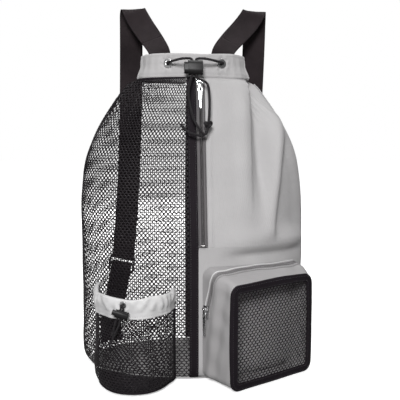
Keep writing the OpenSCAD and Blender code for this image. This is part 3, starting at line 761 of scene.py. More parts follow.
def body_profile():
    """Half width, front depth and back depth of the bag at each height, off the CAD panels."""
    front, back = node_points("front_cloth_panel"), node_points("back_cloth_panel")
    heights = sorted(set(np.round(front[:, 2], 1)))
    w, f, b = [], [], []
    for z in heights:
        fr = front[np.abs(front[:, 2] - z) < 0.06]
        bk = back[np.abs(back[:, 2] - z) < 0.06]
        half = fr[:, 0].max()
        p, q = fr[fr[:, 1].argmin()], bk[bk[:, 1].argmax()]
        w.append(half)
        f.append(-p[1] / math.sqrt(1 - (p[0] / half) ** 2))
        b.append(q[1] / math.sqrt(1 - (q[0] / half) ** 2))
    return heights, Through(heights, w), Through(heights, f), Through(heights, b)


HEIGHTS, HALF_W, FRONT_D, BACK_D = body_profile()
BODY_LOW, BODY_TOP = HEIGHTS[0], HEIGHTS[-1]
COLLAR_LO, COLLAR_HI = box_mm("collar_casing")
COLLAR_MID = (COLLAR_LO + COLLAR_HI) / 2
COLLAR_A, COLLAR_B = (COLLAR_HI[0] - COLLAR_LO[0]) / 2, (COLLAR_HI[1] - COLLAR_LO[1]) / 2
WALL = 7.0
NECK_IN, NECK_TUCK = 5.0, 2.2           # the last of the body runs in under the collar
ZIP_LO, ZIP_HI = box_mm("front_zip_tape_right")
BIND_LO, BIND_HI = box_mm("centre_binding")
ZIP_EDGE = ZIP_HI[0] + 0.5              # where the cloth begins beside the zip
ZIP_FOOT = ZIP_LO[2]
PLEAT_X = COLLAR_HI[0] + 1              # the pleat falls from the end of the collar
PLEAT_DEPTH = 18.0
PLEAT_WIDTH = 17.0                      # of the slope down into its hollow


def gathers(a, broad, fine):
    """Two uneven sets of ripples round the neck of the bag."""
    return (np.sin(a * 0.82 + 2.2 * np.sin(a * 0.11 + 1)) * broad
            + np.sin(a * 1.47 + 1.3 * np.sin(a * 0.23)) * fine)


def folds(a, z):
    """How far the cloth stands in or out from its plain shape, in millimetres.

    a is the angle round the bag in degrees: 0 at the front, 90 on the cloth side."""
    a, z = np.asarray(a, float), np.asarray(z, float)
    x = HALF_W(z) * np.sin(a * RAD)
    front = ramp(np.cos(a * RAD), -0.02, 0.12)
    back = 1 - front
    cloth = ramp(x, 0, 14)
    d = 1.1 * waves(x, z, seed=3, size=130) + 0.5 * waves(a, z, seed=5, size=60)
    keep = ramp(z, 4, 40) * ramp(z, BODY_TOP + 1, BODY_TOP - 26)
    flat = ramp(np.abs(x), 16, 34)                   # the zip and its binding lie flat
    d = d * keep * (front * flat + back)
    # the flat front panel ends in a pleat that falls from the end of the collar
    hang = ramp(z, 200, 290)
    edge = PLEAT_X + 4 - 0.012 * (BODY_TOP - z)
    line = 121 - 0.15 * (300 - z)
    trough = 0.35 * ramp(x, edge - 1, edge + 4) + 0.65 * ramp(x, edge, edge + PLEAT_WIDTH)
    trough = trough * (1 - ramp(x, edge + PLEAT_WIDTH, line - 5)) * (0.5 + 0.5 * ramp(z, 220, 330))
    ridge = 4.6 * bump(x, edge - 9, 12) * ramp(z, BODY_TOP + 8, BODY_TOP - 50)
    d = d + front * hang * (ridge - PLEAT_DEPTH * trough)
    # the side billows out beyond the pleat, then turns sharply to the back
    drape = front * cloth * ramp(z, 184, 206) * ramp(z, 408, 330) * ramp(a, 86, 62)
    d = d + drape * (5.5 * bump(x, line - 5, 11) - 7.5 * ramp(x, line - 3, line + 8 + 8 * ramp(z, 260, 330)))
    # it sags over the top of the side pocket
    roll = front * ramp(x, 24, 74) * ramp(a, 80, 58)
    d = d + roll * (5.0 * bump(z, 190, 14) - 6.0 * bump(z, 168, 6.5) - 3.0 * bump(z, 160, 8))
    # cloth drawn in to the collar falls in gathers
    gather = ramp(z, BODY_TOP - 78, BODY_TOP - 12) * (1 - ramp(z, BODY_TOP - 7, BODY_TOP))
    away = front * ramp(np.abs(x - 4), 66, 78) + back
    d = d + gather * away * gathers(a, 1.5, 0.8)
    # the net slumps between its hem and the collar
    net = front * ramp(-x, 20, 50)
    d = d + net * (2.4 * np.sin((x + 0.55 * z) / 21 + 1.2) * ramp(z, 230, 330) * ramp(z, BODY_TOP, 372)
                   + 1.6 * np.sin((x * 0.8 - 0.4 * z) / 24) * ramp(z, 40, 110) * ramp(z, 300, 200))
    d = d - 1.6 * back * bump(np.abs(a), 180, 16) * ramp(z, 20, 120)
    return d


def collar_xy(a, depth):
    """Points of the collar's ring, depth inside its outer face."""
    a = np.asarray(a, float) * RAD
    return np.stack([COLLAR_MID[0] + (COLLAR_A - depth) * np.sin(a),
                     COLLAR_MID[1] - (COLLAR_B - depth) * np.cos(a)], -1)


def collar_flare(a, z):
    """The foot of the collar spreads where it meets the shoulders of the bag."""
    side = ramp(np.abs(np.sin(np.asarray(a, float) * RAD)), 0.55, 1.0)
    return side * (6.5 * ramp(z, COLLAR_LO[2] + 18, COLLAR_LO[2] - 2) + 1.0)


def body_surface(a, z, off=0.0):
    """Points on the bag: a in degrees, z in millimetres, off outward."""
    a, z, off = np.broadcast_arrays(np.asarray(a, float), np.asarray(z, float), np.asarray(off, float))
    s, c = np.sin(a * RAD), np.cos(a * RAD)
    w = HALF_W(z)
    d = np.where(c > 0, FRONT_D(z), BACK_D(z))
    n = np.stack([s / w, -c / d], -1)
    n /= np.linalg.norm(n, axis=-1, keepdims=True)
    out = off + folds(a, z)
    xy = np.stack([w * s + n[..., 0] * out, -d * c + n[..., 1] * out], -1)
    neck = ramp(z, BODY_TOP - NECK_IN, BODY_TOP)[..., None]
    xy = lerp(xy, collar_xy(a, NECK_TUCK - off - collar_flare(a, z)), neck)
    return np.concatenate([xy, z[..., None]], -1)


def angle_at(x, z):
    """The angle round the front of the bag at a given x."""
    return np.degrees(np.arcsin(np.clip(x / HALF_W(z), -1, 1)))


def plain_row(z, a0, a1, n):
    """n angles from a0 to a1 at height z, their points on the plain shape, and how far along each lies."""
    a = np.linspace(a0, a1, n)
    s, c = np.sin(a * RAD), np.cos(a * RAD)
    d = float(FRONT_D(z) if c.mean() > 0 else BACK_D(z))
    return a, run_along(np.stack([float(HALF_W(z)) * s, -d * c], -1))


class Span:
    """The bag between two upright edges; u runs evenly along the cloth from 0 to 1."""

    def __init__(self, a0, a1):
        self.z = np.linspace(BODY_LOW, BODY_TOP, 120)
        self.u = np.linspace(0, 1, 81)
        table = []
        for z in self.z:
            a, run = plain_row(z, a0(z), a1(z), 121)
            table.append(np.interp(self.u * run[-1], run, a))
        self.table = np.array(table)
        mid = self.table[len(self.z) // 2]
        belly = 200.0                       # the height at which the width is measured
        x, y = HALF_W(belly) * np.sin(mid * RAD), FRONT_D(belly) * np.cos(mid * RAD)
        self.width = length_of(np.stack([x, y], -1))

    def angle(self, u, z):
        """The angle round the bag at u and height z, read off the table."""
        u, z = np.broadcast_arrays(np.asarray(u, float), np.asarray(z, float))
        fu = np.clip(u, 0, 1) * (len(self.u) - 1)
        fz = np.clip((z - self.z[0]) / (self.z[-1] - self.z[0]), 0, 1) * (len(self.z) - 1)
        iu, iz = np.minimum(fu.astype(int), len(self.u) - 2), np.minimum(fz.astype(int), len(self.z) - 2)
        tu, tz = fu - iu, fz - iz
        t = self.table
        return (t[iz, iu] * (1 - tu) * (1 - tz) + t[iz, iu + 1] * tu * (1 - tz)
                + t[iz + 1, iu] * (1 - tu) * tz + t[iz + 1, iu + 1] * tu * tz)


# ---------------------------------------------------------------- net

HEX = ((0.5, -0.25), (0.5, 0.25), (0.0, 0.5), (-0.5, 0.25), (-0.5, -0.25), (0.0, -0.5))
NET_PITCH, NET_ROW = 6.2, 3.6           # from hole to hole along a row, and from row to row
NET_T = 0.6


def net_sheet(place, cols, rows, hole=0.75, keep=None):
    """Knitted net: staggered six-sided holes. place(u, v, off) takes u, v from 0 to 1.

    Cells just outside the kept ones have corners but no hole, so that every hole is whole."""
    row_step = 0.75
    wide, tall = cols + 1.0, rows * row_step + 0.7

    def middle(i, j):
        return i + 0.75 + 0.5 * (j % 2), (j + 0.5) * row_step + 0.35

    def neighbours(i, j):
        odd = j % 2
        return ((i + 1, j), (i + odd, j + 1), (i - 1 + odd, j + 1),
                (i - 1, j), (i - 1 + odd, j - 1), (i + odd, j - 1))

    real = set()
    for j in range(rows):
        for i in range(cols):
            x, y = middle(i, j)
            if keep is None or keep(x / wide, y / tall):
                real.add((i, j))
    cells = set(real)
    for c in real:
        cells.update(neighbours(*c))
    order = sorted(cells, key=lambda c: (c[1], c[0]))
    index = {c: 6 * k for k, c in enumerate(order)}
    centres = np.array([middle(*c) for c in order])
    uv = centres[:, None, :] + np.array(HEX)[None] * hole
    uv = uv + np.random.default_rng(11).normal(0, 0.014, uv.shape)
    u = np.clip(uv[..., 0].ravel() / wide, 0, 1)
    v = np.clip(uv[..., 1].ravel() / tall, 0, 1)
    top = []
    for c in order:
        a = index[c]
        near = neighbours(*c)[:3]
        for (e, g, h), other in zip(((0, 4, 3), (1, 5, 4), (2, 0, 5)), near):
            if other in index and (c in real or other in real):
                b = index[other]
                top.append((a + e, b + g, b + h, a + e + 1))
        right, up_r, up_l = near
        if right in index and up_r in index and real & {c, right, up_r}:
            top.append((a + 1, index[right] + 3, index[up_r] + 5))
        if up_r in index and up_l in index and real & {c, up_r, up_l}:
            top.append((a + 2, index[up_r] + 4, index[up_l]))
    points, faces = close_sheet(place(u, v, 0.0), place(u, v, -NET_T), top)
    uvs = np.concatenate([np.stack([u, v], -1)] * 2)
    used = np.zeros(len(points), bool)
    for q in faces:
        used[list(q)] = True
    renumber = np.cumsum(used) - 1
    faces = [tuple(renumber[x] for x in q) for q in faces]
    return points[used], faces, uvs[used]


def close_sheet(points_top, points_low, top_faces):
    """Closes a one-sided set of faces into a thin solid with walls at every open edge."""
    n = len(points_top)
    faces = list(top_faces)
    faces += [tuple(n + x for x in reversed(q)) for q in top_faces]
    directed = set()
    for q in top_faces:
        for k in range(len(q)):
            directed.add((q[k - 1], q[k]))
    for p, q in sorted(directed):
        if (q, p) not in directed:
            faces.append((q, p, n + p, n + q))
    return np.concatenate([points_top, points_low]), faces


# ---------------------------------------------------------------- body panels

def row_angles(z, a0, a1, n):
    """n angles from a0 to a1 at height z, evenly spaced along the cloth."""
    a, run = plain_row(z, a0, a1, 161)
    return np.interp(np.linspace(0, run[-1], n), run, a)


def net_piece(name, a0, a1, node, turned):
    """A net panel; turned runs its rows of holes up the bag instead of across it."""
    span = Span(a0, a1)
    wide, tall = span.width, BODY_TOP - BODY_LOW
    across, up = (tall, wide) if turned else (wide, tall)
    cols, rows = round(across / NET_PITCH), round(up / NET_ROW)

    def place(u, v, off):
        if turned:
            u, v = 1 - v, u
        z = lerp(BODY_LOW, BODY_TOP, v)
        return body_surface(span.angle(u, z), z, off)

    net(name, net_sheet(place, cols, rows), node)


def net(name, made, node):
    piece(name, made, NET, node, smooth_shade=False)


def cloth_piece(name, node, a0, a1, zs, lift, cols):
    """A cloth panel between two edges; lift(a, z) raises or sinks its outer face."""
    grid_a = np.array([row_angles(z, a0(z), a1(z), cols) for z in zs])
    grid_z = np.broadcast_to(np.asarray(zs)[:, None], grid_a.shape)
    outer = body_surface(grid_a, grid_z, lift(grid_a, grid_z))
    inner = body_surface(grid_a, grid_z, -CLOTH_T)
    uv = np.stack([HALF_W(grid_z) * grid_a * RAD, grid_z], -1) / CLOTH_REPEAT
    piece(name, shell(outer, inner, uv=uv), GREY, node)


CLOTH_T = 1.6
SEAM_A = 90.0                           # where the front and back panels meet at the side

net_piece("front_net", lambda z: -SEAM_A, lambda z: float(angle_at(BIND_LO[0] + 3.5, z)),
          "front_mesh_panel", False)
net_piece("back_net", lambda z: -180 + float(angle_at(3.5, z)), lambda z: -SEAM_A,
          "back_mesh_panel", True)

CLOTH_Z = sorted([*np.linspace(BODY_LOW, BODY_TOP, 120), ZIP_FOOT - 0.4, ZIP_FOOT + 0.1])


def zip_hem(a, z):
    """The cloth is folded under beside the zip, so it stands a little thicker there."""
    x = HALF_W(z) * np.sin(a * RAD)
    fold = 0.55 * ramp(x, ZIP_EDGE + 8.4, ZIP_EDGE + 7.4)
    rounded = 0.8 * ramp(x, ZIP_EDGE + 1.2, ZIP_EDGE)
    return (fold - rounded) * (z > ZIP_FOOT)


def side_seam_sink(a, z):
    """The two panels turn in a little at the seam down the side."""
    return -0.9 * ramp(np.abs(np.abs(a) - SEAM_A), 0.9, 0.1)


cloth_piece("front_cloth", "front_cloth_panel",
            lambda z: float(angle_at(BIND_HI[0] - 1.5 if z < ZIP_FOOT else ZIP_EDGE, z)),
            lambda z: SEAM_A, CLOTH_Z, lambda a, z: zip_hem(a, z) + side_seam_sink(a, z), 88)
cloth_piece("back_cloth", "back_cloth_panel", lambda z: SEAM_A,
            lambda z: 180 - float(angle_at(4.5, z)), CLOTH_Z, side_seam_sink, 104)


def band_piece(name, node, x0, x1, back):
    """A folded binding over the raw edge of the net, with a row of stitches on each side."""
    z, f = np.meshgrid(np.linspace(BODY_LOW, BODY_TOP - 0.5, 130), np.linspace(0, 1, 13), indexing="ij")
    a = 180 - angle_at(lerp(x1, x0, f), z) if back else angle_at(lerp(x0, x1, f), z)
    sewn = (0.16, 0.84)                     # where the rows of thread pull it in
    pull = 0.25 * sum(bump(f, share, 0.05) for share in sewn)
    rise = 0.75 + 0.5 * (1 - np.abs(2 * f - 1) ** 5) - pull
    made = shell(body_surface(a, z, rise), body_surface(a, z, -1.9), uv=np.stack([f, z / 12], -1))
    piece(name, made, BINDING, node)
    rows = []
    for share in sewn:
        z = np.linspace(BODY_LOW + 3, BODY_TOP - 4, 220)
        a = angle_at(lerp(x0, x1, share), z)
        rows.append(surface_stitches(body_surface, 180 - a if back else a, z, 0.95, 3.2, 2.1, 0.28))
    sewing(name + "_stitching", rows, THREAD_BLACK)


band_piece("centre_tape", "centre_binding", BIND_LO[0], BIND_HI[0] - 0.2, False)
BACK_LO, BACK_HI = box_mm("back_binding")
band_piece("back_tape", "back_binding", BACK_LO[0], BACK_HI[0], True)


def seam_cord(name, a, r, material):
    """The overlocked seam between a front and a back panel, its thread wound round it."""
    path = body_surface(a, np.linspace(BODY_LOW + 1, BODY_TOP - 6, 150), -0.4)
    _, n, b = frames_along(path, (1, 0, 0))
    turns = int(length_of(path) / 4.2)
    t = np.linspace(0, 1, turns * 8)
    q = 2 * math.pi * turns * t[:, None]
    base, n, b = (rows_at(t, np.linspace(0, 1, len(path)), rows) for rows in (path, n, b))
    coil = base + (r + 0.12) * (np.cos(q) * n + np.sin(q) * b)
    piece(name, join_parts([tube(path, r, 8), tube(coil, 0.28, 4)]), material)


seam_cord("net_side_seam", -SEAM_A, 1.0, THREAD_BLACK)
seam_cord("cloth_side_seam", SEAM_A, 0.55, THREAD_GREY)


def neck_tape():
    """The black tape under the collar, round the net side."""
    z0 = BODY_TOP - 1.8
    a = np.linspace(-172, -11, 190)
    path = body_surface(a, z0, 1.3)
    across = body_surface(a, z0 + 1.5, 1.3) - body_surface(a, z0 - 1.5, 1.3)
    piece("neck_tape", ribbon(path, across, 4.4, 1.8, cols=9), BINDING, "neck_binding")
    out = unit(np.cross(across, np.gradient(path, axis=0)))
    out *= np.sign((out * (path - path.mean(0))).sum(-1, keepdims=True))
    sewing("neck_tape_stitching", [stitches(path + out * 0.85, out, 3.0, 1.9, 0.24)],
           THREAD_BLACK)


neck_tape()


def base_pad():
    """The cloth base, with a rolled rim."""
    p = node_points("base_panel")
    top = p[:, 2].max()
    rim = p[p[:, 2] > top - 0.01][:, :2]
    rim = np.unique(np.round(rim, 3), axis=0)
    rim = rim[np.argsort(np.arctan2(rim[:, 1], rim[:, 0]))]
    count = 144
    ring = even(np.concatenate([np.c_[rim, rim[:, :1] * 0], np.c_[rim[:1], [[0]]]]), count + 1)[:-1, :2]

    def sag(xy, share, z):
        loose = 0.1 < share < 0.9 and z < 1
        uneven = 0.25 * waves(xy[:, 0], xy[:, 1], seed=4, size=70) if loose else np.zeros(count)
        return np.maximum(z + uneven, 0)

    under = [(0.0, 0.35), (0.3, 0.3), (0.6, 0.15), (0.85, 0.05), (0.955, 0.0), (0.985, 0.25)]
    rolled = [(0.998, 0.9), (1.0, 1.7), (0.998, 2.5), (0.985, 3.0)]
    over = [(share, top) for share in (0.955, 0.85, 0.6, 0.3, 0.0)]
    piece("base_pad", slab(ring, under + rolled + over, sag), GREY, "base_panel")
    path = np.c_[ring.mean(0) + (ring - ring.mean(0)) * 0.95, np.full(count, 0.23)]
    path = np.concatenate([path, path[:1]])
    sewing("base_stitching", [stitches(path, -UP, 4.2, 2.8, 0.3)], THREAD_GREY)


base_pad()


# ---------------------------------------------------------------- collar and eyelets

EYELETS = sorted((g[0].mean(0) for g in cad_mesh_islands("collar_eyelets")), key=lambda p: p[0])


def eyelet_out(e, d=1.0):
    """Outward direction of the collar at an eyelet, times d."""
    n = unit([(e[0] - COLLAR_MID[0]) / COLLAR_A**2, (e[1] - COLLAR_MID[1]) / COLLAR_B**2, 0])
    return n * d


def collar_puckers(a, z):
    """Gathers of the tunnel, drawn up by the cord inside."""
    front = ramp(np.cos(a * RAD), 0.1, 0.35)
    f = (z - COLLAR_LO[2]) / (COLLAR_HI[2] - COLLAR_LO[2])
    mid = 0.35 + 0.65 * np.sin(np.clip(f, 0, 1) * math.pi)
    soft = 0.45 * waves(a, z, seed=21, size=30) + 0.35 * np.sin(a * 0.55 + 0.4) * mid
    ripple = gathers(a, 1.3, 0.9)
    d = front * soft * 0.8 + (1 - front) * (ripple * (0.5 + 0.6 * mid) + soft * 0.5)
    d = d + collar_flare(a, z)
    bunched_end = 2.4 * bump(a, 84, 9) * ramp(z, COLLAR_HI[2] + 6, COLLAR_LO[2] + 8)
    padded_by_cord = 1.3 * mid * front
    return d + bunched_end + padded_by_cord


def collar_rise(a):
    """The rim is not level: it dips between the eyelets and lifts at the gathers."""
    a = (np.asarray(a, float) + 180) % 360 - 180
    back = ramp(np.cos(a * RAD), 0.1, -0.3)
    ruffle = back * 4.2 * bump(a, 138, 26) * (0.75 + 0.25 * np.sin(a * 0.9))
    return ruffle + (-1.1 * bump(a, 8, 14) + 0.9 * bump(a, 50, 20) + 0.6 * bump(a, -50, 20)
            + back * (1.4 * np.sin(a * 0.71 + 1.1) + 1.0 * np.sin(a * 1.3) + 1.6))


def collar_band():
    """The collar's cloth tunnel: a closed section carried right round, and two rows of thread."""
    cols = 400
    a = np.linspace(-180, 180, cols, endpoint=False)
    z0, z1 = COLLAR_LO[2] - 1.6, COLLAR_HI[2]
    low_seam, high_seam = COLLAR_LO[2] + 3.2, COLLAR_HI[2] - 5.2

    def raised(angle, z):
        up = (z - COLLAR_LO[2]) / (COLLAR_HI[2] - COLLAR_LO[2])
        return z + collar_rise(angle) * max(0.0, up) ** 1.5

    section = [(0.9 * (1 - smooth(k / 2.0)), lerp(z0, z1 - 2.2, k / 25)) for k in range(26)]
    section += [(0.35, z1 - 1.1), (1.2, z1 - 0.35), (WALL / 2, z1 - 0.1), (WALL - 1.2, z1 - 0.4),
                (WALL - 0.3, z1 - 1.3)]
    section += [(WALL, lerp(z1 - 3, z0, k / 12)) for k in range(13)]
    section += [(WALL / 2, z0 - 0.2)]
    rows = []
    for depth, z in section:
        push = collar_puckers(a, z) * (1 - min(1.0, depth / WALL) * 0.75)
        if depth < 1:
            push = push - 0.55 * bump(z, low_seam, 0.9) - 0.45 * bump(z, high_seam, 0.9)
            xy = collar_xy(a, depth)
            for e in EYELETS:
                r = np.sqrt((xy[:, 0] - e[0]) ** 2 + (xy[:, 1] - e[1]) ** 2 + (z - e[2]) ** 2)
                seat, hole = ramp(r, 9.5, 6.8), ramp(r, 3.6, 2.6)
                drawn = 0.5 * bump(r, 9, 2.2) * np.sin(np.arctan2(z - e[2], xy[:, 0] - e[0]) * 7)
                push = push * (1 - seat) + seat * 0.1 - 3.4 * hole + drawn
        rows.append(np.c_[collar_xy(a, depth - push), np.broadcast_to(raised(a, z), (cols,))])
    grid = np.array(rows)
    around = np.linspace(0, 1, len(rows))[:, None] * 0.8
    uv = np.stack(np.broadcast_arrays(a[None, :] / 60, around), -1).reshape(-1, 2)
    faces = grid_faces(len(rows), cols, True, section=True)
    piece("collar", (grid.reshape(-1, 3), faces, uv), GREY, "collar_casing")
    rows = []
    for z in (low_seam, high_seam):
        around = np.linspace(-180, 180, 700)
        xy = collar_xy(around, 0.40 - collar_puckers(around, z))
        normal = unit(np.c_[xy - COLLAR_MID[:2], np.zeros(len(around))] / [COLLAR_A, COLLAR_B, 1])
        rows.append(stitches(np.c_[xy, raised(around, z)], normal, r=0.26))
    sewing("collar_stitching", rows, THREAD_GREY)


collar_band()
refined("collar_eyelets", NICKEL, 0.15, "collar_rings", 2, 40)


# ---------------------------------------------------------------- front zip

ACROSS = np.array([1.0, 0.0, 0.0])
FORWARD = np.array([0.0, -1.0, 0.0])
FACE_UP = -joint_axis("front_zip_run")
FACE_OUT = facing(unit(np.cross(ACROSS, FACE_UP)), FORWARD)
FACE = np.stack([ACROSS, FACE_OUT, FACE_UP])           # rows: across, out, up


def on_face(x, d, h):
    """Back from face coordinates: across, out of the face and up it."""
    x, d, h = np.broadcast_arrays(np.asarray(x, float), np.asarray(d, float), np.asarray(h, float))
    return x[..., None] * FACE[0] + d[..., None] * FACE[1] + h[..., None] * FACE[2]


def face_box(node):
    p = node_points(node) @ FACE.T
    return p.min(0), p.max(0)


def zip_tape(name, node, side):
    """One tape of the zip, side being 1 on the right; returns the stitches along its outer edge."""
    lo, hi = face_box(node)
    h, u = np.meshgrid(np.linspace(lo[2], hi[2], 120), np.linspace(0, 1, 9), indexing="ij")
    x = lerp(lo[0], hi[0], u)
    from_seam = 1 - u if side > 0 else u
    top = hi[1] - 0.1 - 0.25 * np.abs(2 * u - 1) ** 8 + 0.12 * np.sin(h / 9.0) * from_seam
    made = shell(on_face(x, top, h), on_face(x, lo[1], h), uv=np.stack([x, h], -1) / 10)
    piece(name, made, TAPE, node)
    edge = hi[0] - 0.9 if side > 0 else lo[0] + 0.9
    return stitches(on_face(edge, hi[1] - 0.05, np.linspace(lo[2] + 2, hi[2] - 2, 150)), FACE_OUT, r=0.24)


COIL_PITCH, COIL_R = 1.5, 0.42


def zip_coil(name, node, side):
    """One side of the coil: a thin spine with a row of small rounded loops."""
    lo, hi = face_box(node)
    parts = []
    mid = (lo[1] + hi[1]) / 2
    near, far = (lo[0], hi[0]) if side > 0 else (hi[0], lo[0])
    h = lo[2] + 0.6
    while h < hi[2] - 0.6:
        path = [on_face(lerp(far, near, f), mid + d, h) for f, d in
                ((0.0, -0.25), (0.35, 0.05), (0.7, 0.12), (0.93, -0.1))]
        parts.append(tube(path, COIL_R, 6))
        h += COIL_PITCH
    parts.append(tube([on_face(far, mid - 0.3, lo[2]), on_face(far, mid - 0.3, hi[2])], 0.3, 6))
    piece(name, join_parts(parts), COIL, node)


sewing("zip_stitching", [zip_tape("zip_tape_left", "front_zip_tape_left", -1),
                         zip_tape("zip_tape_right", "front_zip_tape_right", 1)], THREAD_BLACK)
zip_coil("zip_coil_left", "front_zip_coil_left", -1)
zip_coil("zip_coil_right", "front_zip_coil_right", 1)
refined("front_zip_stops", GUNMETAL, 0.2, "zip_end_stops")
refined("front_zip_slider", NICKEL, 0.3, "zip_slider")
refined("front_zip_puller", NICKEL, 0.35, "zip_puller", 3)


def hem_stitching():
    """Rows of thread on the cloth beside the zip and round its lower end."""
    rows = []
    zs = np.linspace(ZIP_FOOT + 2, BODY_TOP - 8, 200)
    for gap in (2.2, 6.6):
        rows.append(surface_stitches(body_surface, angle_at(ZIP_EDGE + gap, zs), zs, 0.62))
    xs, z = np.linspace(BIND_HI[0] + 1, ZIP_EDGE + 6, 12), ZIP_FOOT - 3.0
    rows.append(stitches(body_surface(angle_at(xs, z), z, 0.15), FORWARD))
    sewing("cloth_stitching", rows, THREAD_GREY)


hem_stitching()


# ---------------------------------------------------------------- drawcord and its lock

def trefoil(centre, size, across, up, count=110):
    """The path of an overhand knot drawn tight."""
    t = np.linspace(0, 2 * math.pi, count)
    out = np.cross(across, up)
    x = np.sin(t) + 2 * np.sin(2 * t)
    y = np.cos(t) - 2 * np.cos(2 * t)
    z = -np.sin(3 * t)
    return centre + size * (x[:, None] * across + y[:, None] * up * 0.8 + z[:, None] * out * 1.1)


def coil_spring(node, name, press):
    """A lock's spring with its edges rounded, on a mesh of its own."""
    spring = refined(node, STEEL, 0.05, name, 1, 60)
    way = joint_axis(press)
    along = node_points(node) @ way
    foot = node_points(node)[along.argmax()] * MM
    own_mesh(spring)


def cord_piece(name, paths, r, sides, node, body, other=None, ends=None):
    """Cord along some paths: it rides a body, or bends between two of them between its ends."""
    made = join_parts([tube(p, r, sides) for p in paths])
    if not other:
        piece(name, made, CORD, node, body)
        return
    points, faces, uv = made
    bend(add_mesh(name, points, faces, CORD, True, uv), body, other, *ends, node)


def draw_cords():
    """The drawcord: round the collar, in through the lock, down to its knot, and a tail."""
    islands = sorted(cad_mesh_islands("drawcord"), key=lambda g: -len(g[0]))
    main, links = islands[0]
    tail = islands[1][0]
    local = main @ FACE.T
    rows = sweep_rows(main, links, nearest(main, main[local[:, 2].argmin()], 8))
    mids = np.array([r.mean(0) for r in rows])
    shell_lo, shell_hi = face_box("cord_lock_shell")
    lock_mid = (shell_lo + shell_hi) / 2
    inside = local[np.abs(local[:, 2] - lock_mid[2]) < 2.5]
    split = inside[:, 0].mean()
    strand = [inside[inside[:, 0] < split][:, 0].mean(), inside[inside[:, 0] > split][:, 0].mean()]
    r = float(np.linalg.norm(rows[len(rows) // 2] - mids[len(rows) // 2], axis=1).mean())
    d0 = inside[:, 1].mean()
    top, low = shell_hi[2] + 1.0, shell_lo[2] - 1.0
    knot = mids[:4].mean(0)                # the sweep begins in the knot
    kx, _, kh = FACE @ knot

    def cord(name, paths, body="bag"):
        cord_piece(name, paths, r, 12, "drawcord", body)

    def slack_cord(name, path, *ends):
        cord_piece(name, [path], r, 12, "drawcord", "bag", "cord_lock", ends)

    # inside the tunnel, from eyelet to eyelet round the back
    eye = [e + eyelet_out(e, 1.4) for e in EYELETS]
    a0 = math.degrees(math.asin((EYELETS[1][0] - 2.0) / (COLLAR_A - WALL / 2)))
    a = np.linspace(a0, 360 - a0, 120)
    loop = np.c_[collar_xy(a, WALL / 2), np.full(len(a), EYELETS[0][2])]
    loop = np.concatenate([[eye[1]], [EYELETS[1] + eyelet_out(EYELETS[1], -1.6)], loop[2:-2],
                           [EYELETS[0] + eyelet_out(EYELETS[0], -1.6)], [eye[0]]])
    cord("cord_in_collar", [spline(loop, 200)])
    # from each eyelet across to the lock
    for k, s, side in ((0, -1, "left"), (1, 1, "right")):
        e, x = EYELETS[k], strand[k]
        path = [eye[k], e + eyelet_out(e, 4.5), e + eyelet_out(e, 8.5) + [-s * 4.0, 0, 1.0]]
        path += [on_face(x + s * out, d0 + d, top + up) for out, d, up in
                 ((15, 1.0, 0.9), (4.5, 0.8, 1.7), (0.8, 0.1, 1.0), (0, 0, 0))]
        start, finish = e + eyelet_out(e, 5), on_face(x + s * 4, d0, top)
        slack_cord("cord_to_lock_" + side, spline(path, 64), start, finish)
    cord("cord_through_lock", [[on_face(x, d0, low), on_face(x, d0, top)] for x in strand], "cord_lock")
    # the hanging part bows apart below the lock and meets at the knot
    drop = low - kh
    right = [(strand[1], 0, 1.0), (strand[1] + 2.8, 0.4, 0.93), (kx - 2.0, 1.0, 0.86), (kx + 1.6, 1.2, 0.74),
             (kx + 2.4, 1.0, 0.5), (kx + 1.8, 0.6, 0.22), (kx + 0.8, 0.2, 0.06)]
    left = [(strand[0], 0, 1.0), (strand[0] - 2.4, 0.2, 0.90), (strand[0] - 5.6, 0.5, 0.62),
            (strand[0] - 3.2, 0.8, 0.34), (strand[0] + 1.6, 1.0, 0.08), (kx - 8.6, 1.0, -0.16),
            (kx - 3.6, 0.6, -0.20), (kx - 0.6, 0.2, -0.08)]
    for name, bows in (("cord_hanging_right", right), ("cord_hanging_left", left)):
        path = spline([on_face(x, d0 + d, kh + share * drop) for x, d, share in bows], 70)
        slack_cord(name, path, on_face(kx, d0, kh + 4), on_face(kx, d0, low))
    # knot and tail
    tail_local = tail @ FACE.T
    end, foot = tail_local[tail_local[:, 0].argmin()], tail_local[:, 2].min()
    tail_path = [on_face(kx + 0.5, d0 - 0.2, kh - 3), on_face(kx - 2, d0 - 0.6, lerp(kh, foot, 0.6)),
                 on_face(lerp(kx, end[0], 0.20), d0 - 0.6, foot + 1.6),
                 on_face(lerp(kx, end[0], 0.42), d0 - 0.4, foot + 2.6),
                 on_face(lerp(kx, end[0], 0.74), d0, lerp(foot, end[2], 0.42)),
                 on_face(end[0] + 2.0, d0, end[2] - 1)]
    cord("cord_knot", [trefoil(knot, 1.75, FACE[0], FACE[2])])
    cord("cord_tail", [spline(tail_path, 60)])


draw_cords()
refined("cord_lock_shell", PLASTIC, 0.9, "lock_shell", 4)
refined("cord_lock_button", PLASTIC_2, 0.8, "lock_button", 3)
coil_spring("cord_lock_spring", "lock_spring", "cord_lock_press")


# ---------------------------------------------------------------- bottle pocket

POCKET_LO, POCKET_HI = box_mm("bottle_pocket_net")
HEM_LO, HEM_HI = box_mm("bottle_pocket_hem")


